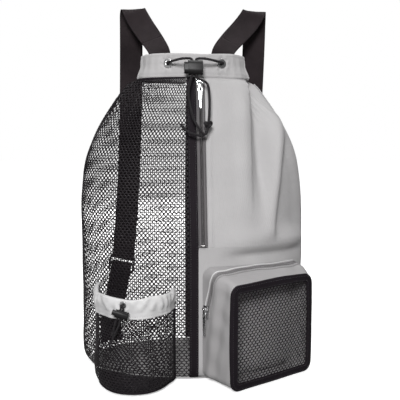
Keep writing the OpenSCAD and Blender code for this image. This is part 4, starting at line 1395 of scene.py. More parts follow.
def pocket_plan():
    """The pocket's outer line seen from above, from the bag at its left round to the bag again."""
    p = node_points("bottle_pocket_net")
    mid_x, rx = (POCKET_LO[0] + POCKET_HI[0]) / 2, (POCKET_HI[0] - POCKET_LO[0]) / 2
    mid_y = p[p[:, 0] < POCKET_LO[0] + 0.05][:, 1].min()
    ry = mid_y - POCKET_LO[1]
    ring = [(mid_x - rx, y) for y in np.linspace(mid_y + 70, mid_y, 30, endpoint=False)]
    ring += [(mid_x + rx * math.sin(a), mid_y - ry * math.cos(a))
             for a in np.linspace(-math.pi / 2, math.pi / 2, 180)]
    ring += [(mid_x + rx, y) for y in np.linspace(mid_y, mid_y + 30, 14)[1:]]
    return np.array(ring), np.array([mid_x, mid_y])


PLAN, PLAN_MID = pocket_plan()
POCKET_BELLY = 60.0                     # the height at which the pocket's outline is taken


def on_bag(xy, z):
    """How far a point stands out of the bag's surface, in millimetres; negative inside it."""
    w, f = float(HALF_W(z)), float(FRONT_D(z))
    k = np.sqrt((xy[..., 0] / w) ** 2 + (xy[..., 1] / f) ** 2)
    return (k - 1) * np.linalg.norm(xy, axis=-1)


def pocket_line(z):
    """The plan at height z, cut where it meets the bag."""
    out = on_bag(PLAN, z) > -1.2
    keep = np.nonzero(out)[0]
    return PLAN[keep[0]:keep[-1] + 1]


def pocket_point(u, z, off):
    """u runs along the pocket from 0 at its left root to 1 at its right root."""
    u, z, off = np.broadcast_arrays(np.asarray(u, float), np.asarray(z, float), np.asarray(off, float))
    line = pocket_line(POCKET_BELLY)
    line = even(np.c_[line, np.zeros(len(line))], 400)[:, :2]
    t = unit(np.gradient(line, axis=0))
    s, k = np.clip(u, 0, 1) * (len(line) - 1), np.arange(len(line))
    x, y, nx, ny = (np.interp(s, k, values) for values in (line[:, 0], line[:, 1], -t[:, 1], t[:, 0]))
    flip = np.where(nx * (x - PLAN_MID[0]) + ny * (y - PLAN_MID[1]) > 0, 1, -1)
    free = ramp(u, 0, 0.12) * ramp(u, 1, 0.88)
    sag = free * (1.8 * bump(z, 34, 30) - 1.3 * bump(z, 86, 16) + 0.9 * waves(u * 160, z, seed=31, size=46)
                  + 0.7 * np.sin(u * 34 + z / 23) * ramp(z, 62, 100))
    foot = -5.5 * ramp(z, 17, 3) ** 2
    d = off + sag + foot * free
    return np.stack([x + nx * flip * d, y + ny * flip * d, z], -1)


def bottle_net():
    z0, z1 = POCKET_LO[2] - 0.5, POCKET_HI[2] + 2.5
    cols, rows = round(length_of(pocket_line(POCKET_BELLY)) / NET_PITCH), round((z1 - z0) / NET_ROW)
    net("pocket_net", net_sheet(lambda u, v, off: pocket_point(u, lerp(z0, z1, v), off), cols, rows),
        "bottle_pocket_net")


bottle_net()


def hem_puckers(u, z):
    """The hem swells above its seam and is drawn in to small gathers."""
    f = (z - HEM_LO[2]) / (HEM_HI[2] - HEM_LO[2])
    swell = np.sin(np.clip((f - 0.28) / 0.72, 0, 1) * math.pi)
    return (1.6 * swell + 1.5 * swell * waves(u * 260, z * 0.9, seed=41, size=19)
            + 0.8 * np.sin(u * 95 + 2 * np.sin(u * 23) + z * 0.1) * (0.3 + 0.7 * swell))


def pocket_hem():
    """The light tunnel round the rim, gathered by its cord."""
    z0, z1 = HEM_LO[2] - 0.8, HEM_HI[2]
    seam = HEM_LO[2] + 2.6
    deep = 5.0
    cols = 260
    u = np.linspace(0, 1, cols)

    def lift(u, z):
        return 1.2 * np.sin(u * 19) * (z - z0) / (z1 - z0)

    section = [(0.5, lerp(z0, z1 - 1.8, k / 20)) for k in range(21)]
    section += [(0.2, z1 - 0.8), (-0.8, z1 - 0.15), (-deep / 2, z1), (-deep + 0.8, z1 - 0.3),
                (-deep + 0.2, z1 - 1.2)]
    section += [(-deep, lerp(z1 - 3, z0 + 2, k / 9)) for k in range(10)]
    section += [(-deep + 1.2, z0 + 0.4), (-deep / 2, z0)]
    e = sum(box_mm("bottle_pocket_eyelet")) / 2
    rows = []
    for off, z in section:
        share = 1 if off > -1 else 0.25
        push = hem_puckers(u, z) * share - (0.5 * bump(z, seam, 0.8) if off > 0 else 0)
        p = pocket_point(u, z, off + push)
        if off > -0.5:
            r = np.linalg.norm(p - e, axis=1)
            seat, hole = ramp(r, 8.0, 5.2)[:, None], ramp(r, 2.9, 1.9)[:, None]
            p = lerp(p, pocket_point(u, z, 0.55), seat)
            p = p - hole * unit(p - np.array([*PLAN_MID, 0])) * [2.2, 2.2, 0]
        p[:, 2] += lift(u, z)
        rows.append(p)
    n = len(rows)
    faces = grid_faces(n, cols, section=True)
    faces.append(tuple(r * cols for r in range(n)))
    faces.append(tuple(r * cols + cols - 1 for r in reversed(range(n))))
    uv = np.stack(np.broadcast_arrays(u[None, :] * 3, np.linspace(0, 1, n)[:, None]), -1).reshape(-1, 2)
    piece("pocket_hem", (np.array(rows).reshape(-1, 3), faces, uv), PALE_CLOTH_AND_HIGHLIGHT, "bottle_pocket_hem")
    u = np.linspace(0.01, 0.99, 500)
    path = pocket_point(u, seam, 0.15 + hem_puckers(u, seam))
    path[:, 2] += lift(u, seam)
    normal = unit(pocket_point(u, seam, 6) - pocket_point(u, seam, 0))
    sewing("pocket_hem_stitching", [stitches(path, normal, r=0.26)], THREAD_GREY)


pocket_hem()


def pocket_floor():
    """The pocket's net foot is closed by a flat piece of the same dark cloth."""
    lo, hi = box_mm("bottle_pocket_base")
    u = np.linspace(0, 1, 120)
    rim = pocket_point(u, lo[2] + 2.5, -0.6)[:, :2]
    root = rim[-1] + (rim[0] - rim[-1]) * np.linspace(0, 1, 40)[:, None]
    bow = []
    for q in root:            # the rear edge follows the bag's own foot
        a = math.degrees(math.atan2(q[0], -q[1] * float(HALF_W(20)) / float(FRONT_D(20))))
        bow.append(body_surface(a, 12.0, 0.3)[:2])
    ring = np.concatenate([rim, np.array(bow)[1:-1]])
    z0, z1 = lo[2], hi[2]
    profile = [(0, z0), (0.5, z0), (0.96, z0), (0.995, z0 + 0.5), (1, z0 + 1.3),
               (0.995, z1 - 0.5), (0.96, z1), (0.5, z1), (0, z1)]
    piece("pocket_floor", slab(ring, profile), BINDING, "bottle_pocket_base")
    # the binding that joins floor and net
    path = pocket_point(np.linspace(0, 1, 150), z0 + 2.6, 0.2)
    piece("pocket_foot_tape", tube(path, 1.5, 8), BINDING)


pocket_floor()


def root_tape(name, u):
    """Where the pocket's side is sewn to the bag."""
    path = pocket_point(np.full(60, u), np.linspace(POCKET_LO[2], HEM_LO[2] + 1, 60), 0.0)
    piece(name, tube(path, 1.5, 8), BINDING)


root_tape("pocket_root_left", 0.004)
root_tape("pocket_root_right", 0.996)
refined("bottle_pocket_eyelet", NICKEL, 0.12, "pocket_ring", 2, 40)


def pocket_cord():
    """Its cord: round inside the hem, out of the eyelet, through the lock to a knot and tail."""
    down = joint_axis("pocket_lock_slide")
    islands = sorted(cad_mesh_islands("bottle_pocket_cord"), key=lambda g: g[0][:, 2].mean())
    shell_p = node_points("pocket_lock_shell")
    lock = (shell_p.min(0) + shell_p.max(0)) / 2
    across = facing(unit(np.cross(-FORWARD, down)), ACROSS)
    basis = np.stack([across, -FORWARD, -down])
    top_z = (shell_p @ basis.T)[:, 2].max() + 0.6
    low_z = (shell_p @ basis.T)[:, 2].min() - 0.6
    strands = []
    for p, _ in islands:
        q = p @ basis.T
        if np.ptp(q[:, 2]) > 20 and np.ptp(q[:, 0]) < 12 and q[:, 2].max() > top_z:
            near = q[np.abs(q[:, 2] - (lock @ basis.T)[2]) < 7]
            strands.append((near if len(near) else q).mean(0))
    strands.sort(key=lambda s: s[0])
    knot_p = [p for p, _ in islands if np.ptp((p @ basis.T)[:, 2]) < 9]
    knot = knot_p[0].mean(0) if knot_p else lock + down * 26
    e = sum(box_mm("bottle_pocket_eyelet")) / 2
    away = unit(np.array([e[0] - PLAN_MID[0], (e[1] - PLAN_MID[1]) * 0.7, 0]))
    kx, ky, kz = basis @ knot

    def at(x, y, z):
        return x * basis[0] + y * basis[1] + z * basis[2]

    def cord(name, paths, *bodies, ends=None):
        cord_piece("pocket_cord_" + name, paths, 1.2, 10, "bottle_pocket_cord", *bodies, ends=ends)

    u = np.linspace(0.03, 0.97, 150)
    cord("in_hem", [pocket_point(u, e[2], -2.4)], "bag")
    y0 = strands[0][1]
    ups, mids, downs = [], [], []
    for side, (x, _, _) in zip((-1, 1), strands):
        ups.append(spline([at(x, y0, top_z - 0.4), at(x, y0 - 0.2, top_z + 1.6),
                           e + away * 4.5 + [side * 0.9, 0, 0.6], e + away * 2.0 + [side * 0.8, 0, 0.2],
                           e - away * 1.2 + [side * 0.7, 0, 0]], 26))
        mids.append([at(x, y0, low_z), at(x, y0, top_z)])
        downs.append(spline([at(x, y0, low_z + 0.3), at(x + side * 1.0, y0 - 0.5, lerp(low_z, kz, 0.35)),
                             at(lerp(x, kx, 0.6) + side * 1.2, y0 - 0.4, lerp(low_z, kz, 0.7)),
                             at(kx + side * 0.6, ky, kz)], 26))
    cord("up", ups, "bag", "pocket_lock", ends=(e + away * 3.0, at(strands[0][0] + 1.5, y0, top_z)))
    cord("through_lock", mids, "pocket_lock")
    cord("hanging", downs, "bag", "pocket_lock", ends=(knot - down * 3.0, at(kx, y0, low_z)))
    tail = spline([knot + down * 2, knot + down * 8 + [0.8, -0.6, 0], knot + down * 14 + [-0.8, -0.3, 0],
                   knot + down * 20 + [0.7, 0, 0]], 26)
    cord("knot", [trefoil(knot, 1.02, basis[0], basis[2], 90), tail], "bag")


pocket_cord()
refined("pocket_lock_shell", PLASTIC, 0.6, "pocket_lock_body", 3)
refined("pocket_lock_button", PLASTIC_2, 0.5, "pocket_lock_plunger", 3)
coil_spring("pocket_lock_spring", "pocket_lock_coil", "pocket_lock_press")


# ---------------------------------------------------------------- zipped side pocket

def side_frame():
    """The face's own axes, off the flat net node: along it, back from it, and up."""
    p = node_points("side_pocket_net")
    flat = p[:, :2] - p[:, :2].mean(0)
    _, _, axes = np.linalg.svd(flat, full_matrices=False)
    along = facing(np.array([*axes[0], 0.0]), ACROSS)
    return np.stack([along, np.cross(UP, along), UP])


SIDE = side_frame()


def side_box(node):
    p = node_points(node) @ SIDE.T
    return p.min(0), p.max(0)


FACE_LO, FACE_HI = side_box("side_pocket_binding")
INNER_LO, INNER_HI = side_box("side_pocket_net")
FACE_BACK = FACE_HI[1]
GUS_LO, GUS_HI = side_box("side_pocket_gusset")
BINDING_W = INNER_LO[0] - FACE_LO[0]
RISE = (GUS_HI[2] - GUS_LO[2]) / (FACE_HI[2] - FACE_LO[2]) - 1


def to_world(s, back, z):
    s, back, z = np.broadcast_arrays(np.asarray(s, float), np.asarray(back, float), np.asarray(z, float))
    return s[..., None] * SIDE[0] + back[..., None] * SIDE[1] + z[..., None] * SIDE[2]


CORNER_R = 12.0                         # of the pocket's face


def rounded_outline(let_in, count):
    """Evenly spaced points round the face, from the middle of its foot, anticlockwise."""
    lo, hi = FACE_LO[[0, 2]] + let_in, FACE_HI[[0, 2]] - let_in
    r = max(CORNER_R - let_in, 3.0)
    pts = [((lo[0] + hi[0]) / 2, lo[1])]
    for cx, cz, a0 in ((hi[0] - r, lo[1] + r, -90), (hi[0] - r, hi[1] - r, 0),
                       (lo[0] + r, hi[1] - r, 90), (lo[0] + r, lo[1] + r, 180)):
        for a in np.linspace(a0, a0 + 90, 13):
            pts.append((cx + r * math.cos(a * RAD), cz + r * math.sin(a * RAD)))
    pts.append(pts[0])
    p = np.array(pts)
    return even(np.c_[p, np.zeros(len(p))], count + 1)[:-1, :2]


FACE_MID = np.array([(FACE_LO[0] + FACE_HI[0]) / 2, (FACE_LO[2] + FACE_HI[2]) / 2])


def face_bulge(s, z):
    """The face swells a little in its middle; its edges stay put."""
    fs = np.clip((s - FACE_LO[0]) / (FACE_HI[0] - FACE_LO[0]), 0, 1)
    fz = np.clip((z - FACE_LO[2]) / (FACE_HI[2] - FACE_LO[2]), 0, 1)
    dome = np.clip(np.sin(fs * math.pi), 0, 1) ** 0.7 * np.clip(np.sin(fz * math.pi), 0, 1) ** 0.7
    return (4.6 * dome + 1.0 * dome * waves(s, z, seed=51, size=60)
            + 0.5 * waves(s, z, seed=52, size=90) - 0.3)


def face_point(s, z, off):
    """A point on the face, off outward; its rim waves slightly."""
    dx = (s - FACE_MID[0]) / (FACE_HI[0] - FACE_MID[0])
    dz = (z - FACE_MID[1]) / (FACE_HI[2] - FACE_MID[1])
    s2 = s + 1.4 * dx * np.cos(np.clip(dz, -1, 1) * math.pi / 2)
    z2 = z + 0.8 * dz * np.sin(s / 21.0)
    z2 = np.where(z < FACE_MID[1], z, z2)
    return to_world(s2, FACE_LO[1] + 2.6 - face_bulge(s, z) - off, z2)


def body_tree():
    """The visible bag, for finding where the pocket's wall meets it."""
    z, a = np.meshgrid(np.linspace(BODY_LOW - 8, 240, 120), np.linspace(-20, 170, 191), indexing="ij")
    p = body_surface(a, np.maximum(z, BODY_LOW), 0)
    p[..., 2] = z
    return BVHTree.FromPolygons([tuple(q) for q in p.reshape(-1, 3)], grid_faces(*z.shape))


def wall_roots(outline):
    """For each point of the face's outline, the distance back to the bag."""
    tree = body_tree()
    roots = []
    for s, z in outline:
        guess = 45.0
        for _ in range(3):
            start = to_world(s, FACE_BACK, z)
            end = to_world(s, FACE_BACK + guess, z * (1 + RISE))
            hit = tree.ray_cast(Vector(start), Vector(end - start).normalized(), 150)
            if hit[0] is None:
                break
            guess = float((np.array(hit[0]) - start) @ SIDE[1])
        roots.append(max(guess, 4.0))
    roots = np.array(roots)
    for _ in range(3):
        roots = (np.roll(roots, 1) + 2 * roots + np.roll(roots, -1)) / 4
    return roots


OUTLINE_N = 240
OUTLINE = rounded_outline(0.0, OUTLINE_N)
ROOTS = wall_roots(OUTLINE)
OUTLINE_SLOPE = np.gradient(np.r_[OUTLINE[-1:], OUTLINE, OUTLINE[:1]], axis=0)[1:-1]
OUT_DIR = unit(np.stack([OUTLINE_SLOPE[:, 1], -OUTLINE_SLOPE[:, 0]], -1))


def at_outline(values, i):
    """Values known at each point of the outline, read off anywhere along it."""
    return np.interp(i % OUTLINE_N, np.arange(OUTLINE_N + 1), np.r_[values, values[:1]])


def wall_point(i, f, off):
    """On the pocket's cloth wall: i counts along the outline, f is 0 at the face and 1 at the bag."""
    i, f, off = np.broadcast_arrays(np.asarray(i, float), np.asarray(f, float), np.asarray(off, float))
    s, z, ox, oz, root = (at_outline(values, i) for values in (*OUTLINE.T, *OUT_DIR.T, ROOTS))
    upright = np.abs(ox)
    top = ramp(oz, 0.3, 0.9)
    low = ramp(oz, -0.3, -0.9)
    left = ramp(-ox, 0.5, 0.95)
    puff = np.sin(np.clip(f, 0, 1) * math.pi)
    run = i * 2.3
    d = puff * (2.6 * top + 2.0 * upright) * (1 - low)
    d = d + puff * (1 - low) * (0.8 * waves(run, f * root, seed=61, size=40)
                               + 1.1 * np.sin(run / 6.5 + 2 * np.sin(run / 31)) * (1 - f) ** 2)
    # soft vertical creases down the left wall
    d = d + left * puff * (1.5 * np.sin(f * 9.5 + z / 40) + 0.8 * np.sin(f * 17 + z / 18))
    d = d + off - 0.6 * ramp(f, 0.05, 0.0)
    grow = 1 + RISE * f
    return to_world(s + ox * d, FACE_BACK + f * root, np.maximum(z * grow + oz * d, 0.8))


def gusset():
    """The pocket's grey wall, sewn to the bag and to the face."""
    f = np.linspace(1.0, 0.0, 40)
    f = f - 0.006 * (f == 1.0)
    f, i = np.meshgrid(f, np.arange(OUTLINE_N), indexing="ij")
    made = shell(wall_point(i, f, 0.0), wall_point(i, f, -1.5), True, np.stack([i * 0.023, f * 0.5], -1))
    # its cloth is the bag's grey painted darker, as shade
    piece("side_gusset", made, POCKET_SHADE_GREY, "side_pocket_gusset")
    i = np.linspace(0, OUTLINE_N, 900)
    beside_bag = surface_stitches(wall_point, i, 0.985, 0.05, 3.2, 2.1)
    beside_face = surface_stitches(wall_point, i, 0.06, 0.05, 3.0, 2.1)
    sewing("side_gusset_stitching", [beside_bag, beside_face], THREAD_GREY)


gusset()


def face_border():
    """The black binding round the face, folded over the gusset's edge, with two rows of thread."""
    section = [(-1.3, -1.6), (-1.5, 0.2), (-0.9, 1.5), (0.6, 2.0), (3.0, 2.15), (BINDING_W - 2.0, 2.0),
               (BINDING_W - 0.2, 1.6), (BINDING_W + 0.4, 0.6), (BINDING_W, -0.3), (BINDING_W / 2, -0.5),
               (0.8, -0.9)]
    rings = []
    for let_in, off in section:
        p = rounded_outline(let_in, 260)
        rings.append(face_point(p[:, 0], p[:, 1], off - 0.6))
    grid = np.array(rings)
    n, cols = grid.shape[:2]
    uv = np.stack(np.broadcast_arrays(np.arange(cols)[None, :], np.arange(n)[:, None]), -1).reshape(-1, 2) / 6
    made = grid.reshape(-1, 3), grid_faces(n, cols, True, section=True), uv
    piece("face_binding", made, BINDING, "side_pocket_binding")
    rows = []
    for let_in in (1.6, BINDING_W - 1.6):
        p = rounded_outline(let_in, 600)
        p = np.concatenate([p, p[:1]])
        rows.append(stitches(face_point(p[:, 0], p[:, 1], 1.45), -SIDE[1]))
    sewing("face_binding_stitching", rows, THREAD_BLACK)


face_border()


def face_net():
    """The net in the pocket's face, cut to a rounded rectangle."""
    lo, hi = INNER_LO[[0, 2]] - 2.5, INNER_HI[[0, 2]] + 2.5
    size = hi - lo
    cols, rows = round(size[0] / NET_PITCH), round(size[1] / NET_ROW)
    r = CORNER_R

    def keep(u, v):
        x, z = lo[0] + u * size[0], lo[1] + v * size[1]
        dx = max(lo[0] + r - x, x - hi[0] + r, 0)
        dz = max(lo[1] + r - z, z - hi[1] + r, 0)
        return math.hypot(dx, dz) < r - 1.5

    def place(u, v, off):
        return face_point(lo[0] + u * size[0], lo[1] + v * size[1], off + 0.2)

    net("face_net", net_sheet(place, cols, rows, hole=0.79, keep=keep), "side_pocket_net")


face_net()


def side_zip():
    """The zip up the left wall and over the top, its tape set in the cloth."""
    slider_lo, slider_hi = side_box("side_zip_slider")
    zip_back = (slider_lo[1] + slider_hi[1]) / 2
    start_z = side_box("side_zip_tape_outer")[0][2]
    left = np.nonzero((OUTLINE[:, 0] < FACE_LO[0] + 1) & (OUTLINE[:, 1] * (1 + RISE) > start_z))[0]
    first = left[OUTLINE[left, 1].argmin()]
    top_right = np.nonzero((OUTLINE[:, 1] > FACE_HI[2] - 1))[0]
    last = top_right[OUTLINE[top_right, 0].argmax()]
    # the outline runs anticlockwise, so the zip runs back along it from the left wall
    k = np.linspace(first, last, 260)
    root = at_outline(ROOTS, k)
    set_off = FACE_BACK + root[0] - zip_back
    corner = int((OUTLINE[:, 1] - OUTLINE[:, 0]).argmax())
    step = np.linalg.norm(OUTLINE[1] - OUTLINE[0])
    swing = 15.0 * np.exp(-((k - corner) * step / 34) ** 2)      # it rounds the corner in a wider sweep
    f_mid = 1 - (set_off + swing) / root

    def tape(name, node, side):
        """One tape, from 0.8 to 5.6 mm beside the zip's middle."""
        u = side * np.linspace(0.8, 5.6, 5)
        f = f_mid[:, None] - u[None, :] / root[:, None]
        i = np.broadcast_to(k[:, None], f.shape)
        uv = np.stack([np.broadcast_to(u[None, :] / 10, f.shape), i * 0.2], -1)
        piece(name, shell(wall_point(i, f, 0.75), wall_point(i, f, 0.1), uv=uv), SIDE_TAPE, node)

    def coil(name, node, side):
        run = run_along(wall_point(k, f_mid, 1.0))
        parts = []
        for s in np.arange(1.0, run[-1] - 1, COIL_PITCH):
            i, f, depth = (np.interp(s, run, values) for values in (k, f_mid, root))
            path = [wall_point(i, f - side * x / depth, off) for x, off in
                    ((2.3, 0.85), (1.8, 1.15), (1.2, 1.2), (0.95, 1.0))]
            parts.append(tube(path, COIL_R, 6))
        piece(name, join_parts(parts), SIDE_COIL, node)

    for make, what in ((tape, "tape"), (coil, "coil")):
        for side, which in ((1, "outer"), (-1, "inner")):
            make(f"side_{what}_{which}", f"side_zip_{what}_{which}", side)
    rows = [surface_stitches(wall_point, k, f_mid - x / root, 0.72, 3.0, 2.0, 0.22) for x in (4.6, -4.6)]
    sewing("side_zip_stitching", rows, THREAD_GREY)
    # the cloth is folded back beside the zip; its edge is a tube of pale cloth, a painted highlight where the
    # edge catches the light
    path = wall_point(k, f_mid + 6.4 / root, 0.55)
    piece("side_zip_fold", tube(path, 1.0, 8), PALE_CLOTH_AND_HIGHLIGHT)


side_zip()
refined("side_zip_stop", NICKEL, 0.2, "side_zip_end")
refined("side_zip_slider", NICKEL, 0.3, "side_slider_fine")
refined("side_zip_puller", NICKEL, 0.35, "side_puller_fine", 3)


# ---------------------------------------------------------------- straps

WEB_STITCH = (2.8, 1.9, 0.26)
STRAP_LEAN = 7.0                        # both straps lean a little to one side as the bag stands
STRAP_N = 320                           # points along a strap
LOOP_R = 2.95                           # of webbing round a bar of the ladder lock
MIDDLE_BAR = -10.5                      # from the ladder lock's top bar
LOW_WEB_W, LOW_WEB_T = 32.0, 1.8
TAB_N = 60                              # points along an anchor tab


def box_stitching(mid, across, up, out, w, h):
    """A sewn box with a cross in it."""
    side, rise = across * w / 2, up * h / 2
    a, b, c, d = mid - side - rise, mid + side - rise, mid + side + rise, mid - side + rise
    parts = []
    for p, q in ((a, b), (b, c), (c, d), (d, a), (a, c), (b, d)):
        parts.append(stitches(np.linspace(p, q, 12), out, *WEB_STITCH))
    return parts


def webbing(path, across, width, thick, cols=23, rib=0.07):
    return ribbon(path, np.broadcast_to(across, path.shape), width, thick, rib=rib, cols=cols)


def strap(side):
    """One shoulder strap with its patch, webbing and anchor, split at its two hinges."""
    body, buckle = side + "_shoulder_strap", side + "_buckle"
    strap_node, web_node = side + "_strap", side + "_lower_webbing"
    path, across, width, thick = smooth_strip(strap_node, joint_place(side + "_strap_swing") + UP, 260)
    z_root = path[0][2]
    top, last = int(path[:, 2].argmax()), len(path) - 1
    share = np.arange(len(path)) / top
    lean = np.where(share < 1, smooth(share), smooth((last - np.arange(len(path))) / (last - top)))
    path = path + lean[:, None] * [STRAP_LEAN, 0, 0]
    # the webbing goes on down behind the patch that holds it
    patch_lo, patch_hi = box_mm(side + "_strap_patch")
    tuck = np.array([[*path[0][:2], z] for z in np.linspace(patch_lo[2] + 4, z_root - 1.5, 14)])
    full = np.concatenate([tuck, path])
    dirs = np.concatenate([np.repeat(across[:1], len(tuck), 0), across])
    run = run_along(full)
    at = np.linspace(0, run[-1], STRAP_N)
    full_even = even(full, STRAP_N)
    dirs = unit(rows_at(at, run, dirs))
    dirs = unit(np.array([dirs[max(0, i - 4):i + 5].mean(0) for i in range(STRAP_N)]))
    split = int(np.nonzero(run_along(full_even) > (z_root - tuck[0][2]) + 30)[0][0])

    def web_mesh(name, made):
        points, faces, uv = made
        return add_mesh(side + name, points, faces, WEB, True, uv)

    def cut(name, i0, i1):
        points, faces, uv = webbing(full_even[i0:i1], dirs[i0:i1], width, thick * 0.95)
        return web_mesh(name, (points, faces, uv + [0, at[i0] / WEB_REPEAT]))

    bend(cut("_strap_root", 0, split + 1), "bag", body, full_even[len(tuck)], full_even[split - 1],
         strap_node)
    put(cut("_strap_webbing", split, STRAP_N), body, strap_node)

    # patch on the collar
    patch_mid = (patch_lo + patch_hi) / 2
    tangent = unit(dirs[0] * [1, 1, 0])
    out = facing(unit(np.cross(tangent, UP)), patch_mid - COLLAR_MID)
    patch_w = float(np.ptp(node_points(side + "_strap_patch") @ tangent))
    base = np.array([[patch_mid[0], patch_mid[1], z] for z in np.linspace(patch_lo[2], patch_hi[2], 24)])
    base = base + out * (0.9 + 0.35 * np.sin(np.linspace(0, math.pi, 24)))[:, None]
    piece(side + "_patch", webbing(base, tangent, patch_w, 1.5, 15, 0.0), GREY,
          side + "_strap_patch")
    rows = box_stitching(patch_mid + out * 1.95, tangent, UP, out, patch_w - 8, patch_hi[2] - patch_lo[2] - 7)
    sewing(side + "_patch_stitching", rows, THREAD_GREY)

    # the strap's end goes round the lock's top bar and is sewn back on itself
    bar = joint_place(side + "_ladder_lock_tilt")
    tab, tab_links = cad_mesh_islands(side + "_anchor_tab")[0]
    top_row = np.argsort((tab - tab.mean(0)) @ -unit(bar - tab.mean(0)))[:4]
    tab_top = tab[top_row].mean(0)
    lock_up = unit(bar - tab_top)
    lock_side = facing(joint_axis(side + "_ladder_lock_tilt"), ACROSS)
    lock_out = np.cross(lock_up, lock_side)

    def in_lock(out, up):
        """A point in the lock's middle plane, up from its top bar."""
        return bar + out * lock_out + up * lock_up

    def round_bar(up, angles):
        return [in_lock(LOOP_R * math.cos(a * RAD), up + LOOP_R * math.sin(a * RAD)) for a in angles]

    back = [full_even[-k] - lock_out * (thick * 1.02) for k in (26, 20, 14, 9)]
    loop = spline(back + [in_lock(-2.7, 3.4)] + round_bar(0, (165, 205, 240, 270, 300, 335, 10))
                  + [full_even[-1] + lock_out * 0.6], 70)
    put(web_mesh("_strap_loop", webbing(loop, lock_side, width, thick * 0.9)), body, strap_node)
    up = unit(full_even[-22] - full_even[-14])
    sewn_at = full_even[-18] + lock_out * (thick / 2 + 0.1)
    rows = box_stitching(sewn_at, lock_side, up, lock_out, width - 6, 18)
    sewing(side + "_strap_stitching", rows, THREAD_BLACK, body)

    # lower webbing: up from the anchor, through the lock round its middle bar, and a free tail
    mids, tab_dirs, tab_w, tab_t = strip_rows(sweep_rows(tab, tab_links, top_row))
    tab_path = spline(mids[::-1], TAB_N)
    tab_dirs = unit(rows_at(np.linspace(0, 1, TAB_N), np.linspace(0, 1, len(mids)), tab_dirs[::-1]))
    tab_across = facing(tab_dirs[-1], lock_side)
    rise = [lerp(tab_top, in_lock(0, MIDDLE_BAR), f) + lock_out * 1.6 * f
            for f in (0.02, 0.2, 0.4, 0.6, 0.75)]
    rise += [in_lock(2.6, -26.5), in_lock(3.0, -22), in_lock(LOOP_R, -15)]
    over = round_bar(MIDDLE_BAR, (0, 35, 70, 110, 145, 180))
    fall = [in_lock(-out, -drop) for out, drop in ((3.1, 15), (3.5, 23), (4.1, 33), (4.9, 43), (5.4, 51.5))]
    whole = spline(rise + over + fall, 400)
    run = run_along(whole)
    dirs = unit(lerp(tab_across[None], lock_side[None], ramp(run, 0, 55)[:, None]))
    lead = tab_path[-12:-1]                # it starts inside the anchor tab
    whole = np.concatenate([lead, whole])
    dirs = np.concatenate([np.repeat(tab_across[None], len(lead), 0), dirs])

    def low_web(path, across):
        return webbing(path, across, LOW_WEB_W, LOW_WEB_T * 0.95, 21, 0.06)

    def length_cut(name, i0, i1):
        return web_mesh(name, low_web(whole[i0:i1], dirs[i0:i1]))

    at_root = len(lead) + int(np.searchsorted(run, 34))
    at_lock = len(lead) + int(np.searchsorted(run, 58))
    at_tail = len(whole) - int(np.searchsorted(run[-1] - run[::-1], 20))
    bend(length_cut("_lower_root", 0, at_root + 1), "bag", body, whole[12], whole[at_root - 2], web_node)
    put(length_cut("_lower_webbing_run", at_root, at_lock + 1), body, web_node)
    bend(length_cut("_webbing_in_lock", at_lock, at_tail + 1), body, buckle,
         in_lock(0, -34), in_lock(0, -20), web_node)
    turned_up = whole[-1:-24:-1] + lock_out * LOW_WEB_T      # the cut end is folded over and sewn
    tail = join_parts([low_web(whole[at_tail:], dirs[at_tail:]), low_web(turned_up, lock_side)])
    put(web_mesh("_webbing_tail", tail), body, web_node)

    # anchor tab, sewn in at the foot of the bag
    put(web_mesh("_tab", webbing(tab_path, tab_dirs, tab_w, tab_t, 19)), "bag", side + "_anchor_tab")
    rows = []
    for k in (34, 50):
        up = unit(tab_path[k + 2] - tab_path[k - 2])
        out = facing(unit(np.cross(tab_dirs[k], up)), tab_path[k] * [1, 1, 0])
        reach = tab_w / 2 - 3
        row = np.array([tab_path[k] + tab_dirs[k] * x for x in np.linspace(-reach, reach, 12)])
        rows.append(stitches(row + out * (tab_t / 2 + 0.05), out, *WEB_STITCH))
    sewing(side + "_tab_stitching", rows, THREAD_GREY)
    refined(side + "_ladder_lock", PLASTIC, 0.6, side + "_ladder_buckle", 3)


strap("left")
strap("right")


# ---------------------------------------------------------------- stage, light and camera

BOUNCE = 0.25                           # how pale the floor is for light that falls back on the bag
WHITE = (1, 1, 1, 1)


def stage():
    """A plain white studio floor; a little glow keeps it white behind the soft contact shadow."""
    mesh = bpy.data.meshes.new("floor")
    corners = ((-7, -4, 0), (7, -4, 0), (7, 9, 0), (-7, 9, 0))
    mesh.from_pydata(corners, [], [(0, 1, 2, 3)])
    floor = bpy.data.objects.new("floor", mesh)
    bpy.context.scene.collection.objects.link(floor)
    m, n, p = new_material("studio_floor")
    cloud = n.noise(n.coords("Object"), 3, 2)
    ray = n.new("LightPath").outputs["Is Camera Ray"]
    pale = n.mix(cloud, (0.90, 0.90, 0.90), (0.93, 0.93, 0.93))
    n.link(n.mix(ray, (BOUNCE, BOUNCE, BOUNCE), pale), p.inputs["Base Color"])
    p.inputs["Roughness"].default_value = 0.8
    p.inputs["Specular IOR Level"].default_value = 0.1
    p.inputs["Emission Color"].default_value = WHITE
    # it glows more with distance, and only for the camera, so no horizon shows
    away = n.new("VectorMath", operation="LENGTH")
    n.link(n.coords("Object"), away.inputs[0])
    glow = n.map(away.outputs["Value"], 0.45, 1.0, 0.35, 2.2)
    n.link(n.math("MULTIPLY", glow, ray), p.inputs["Emission Strength"])
    mesh.materials.append(m)


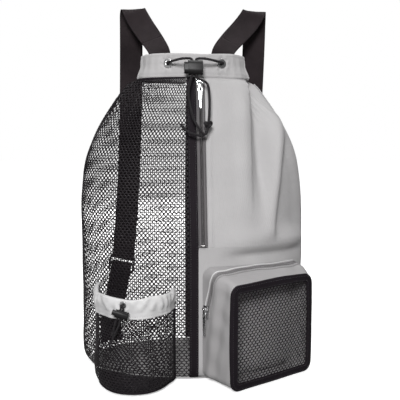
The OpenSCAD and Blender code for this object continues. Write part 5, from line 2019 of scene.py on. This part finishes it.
def area_light(name, place, aim, size, power):
    """A square light in watts at a place, turned to its aim."""
    data = bpy.data.lights.new(name, "AREA")
    data.shape = "RECTANGLE"
    data.size = data.size_y = size
    data.energy = power
    obj = bpy.data.objects.new(name, data)
    obj.location = place
    obj.rotation_euler = (Vector(aim) - Vector(place)).to_track_quat("-Z", "Y").to_euler()
    bpy.context.scene.collection.objects.link(obj)


def studio():
    """A white surround for the camera and a dim one for the bag, four lights and the camera."""
    world = bpy.data.worlds.new("studio")
    bpy.context.scene.world = world
    world.use_nodes = True
    nt = world.node_tree
    seen = nt.nodes["Background"]
    seen.inputs["Color"].default_value = WHITE
    seen.inputs["Strength"].default_value = 1.0
    lit = nt.nodes.new("ShaderNodeBackground")
    lit.inputs["Color"].default_value = WHITE
    lit.inputs["Strength"].default_value = 0.10
    ray, mix = nt.nodes.new("ShaderNodeLightPath"), nt.nodes.new("ShaderNodeMixShader")
    nt.links.new(ray.outputs["Is Camera Ray"], mix.inputs[0])
    nt.links.new(lit.outputs[0], mix.inputs[1])
    nt.links.new(seen.outputs[0], mix.inputs[2])
    nt.links.new(mix.outputs[0], nt.nodes["World Output"].inputs["Surface"])
    area_light("key", (-0.32, -2.08, 1.25), (0, 0, 0.22), 0.6, 62)
    area_light("fill", (-1.6, -0.9, 1.0), (0, 0, 0.25), 0.9, 0.6)
    area_light("top", (0.1, 0.3, 2.0), (0, 0, 0.1), 1.2, 20)
    area_light("back", (0.35, 2.2, 1.2), (0, 0, 0.25), 1.3, 30)
    view = bpy.context.scene.view_settings
    view.view_transform = "Standard"
    view.look = "None"
    cam = bpy.data.cameras.new("camera")
    cam.sensor_width = 36
    cam.lens = 58.5
    cam.clip_start, cam.clip_end = 0.05, 50
    obj = bpy.data.objects.new("camera", cam)
    obj.location = (-0.0730, -0.9548, 0.3238)
    turn, tilt = math.radians(5.02), math.radians(5.27)
    obj.rotation_euler = (math.pi / 2 - tilt, 0, -turn)
    bpy.context.scene.collection.objects.link(obj)
    bpy.context.scene.camera = obj


stage()
studio()
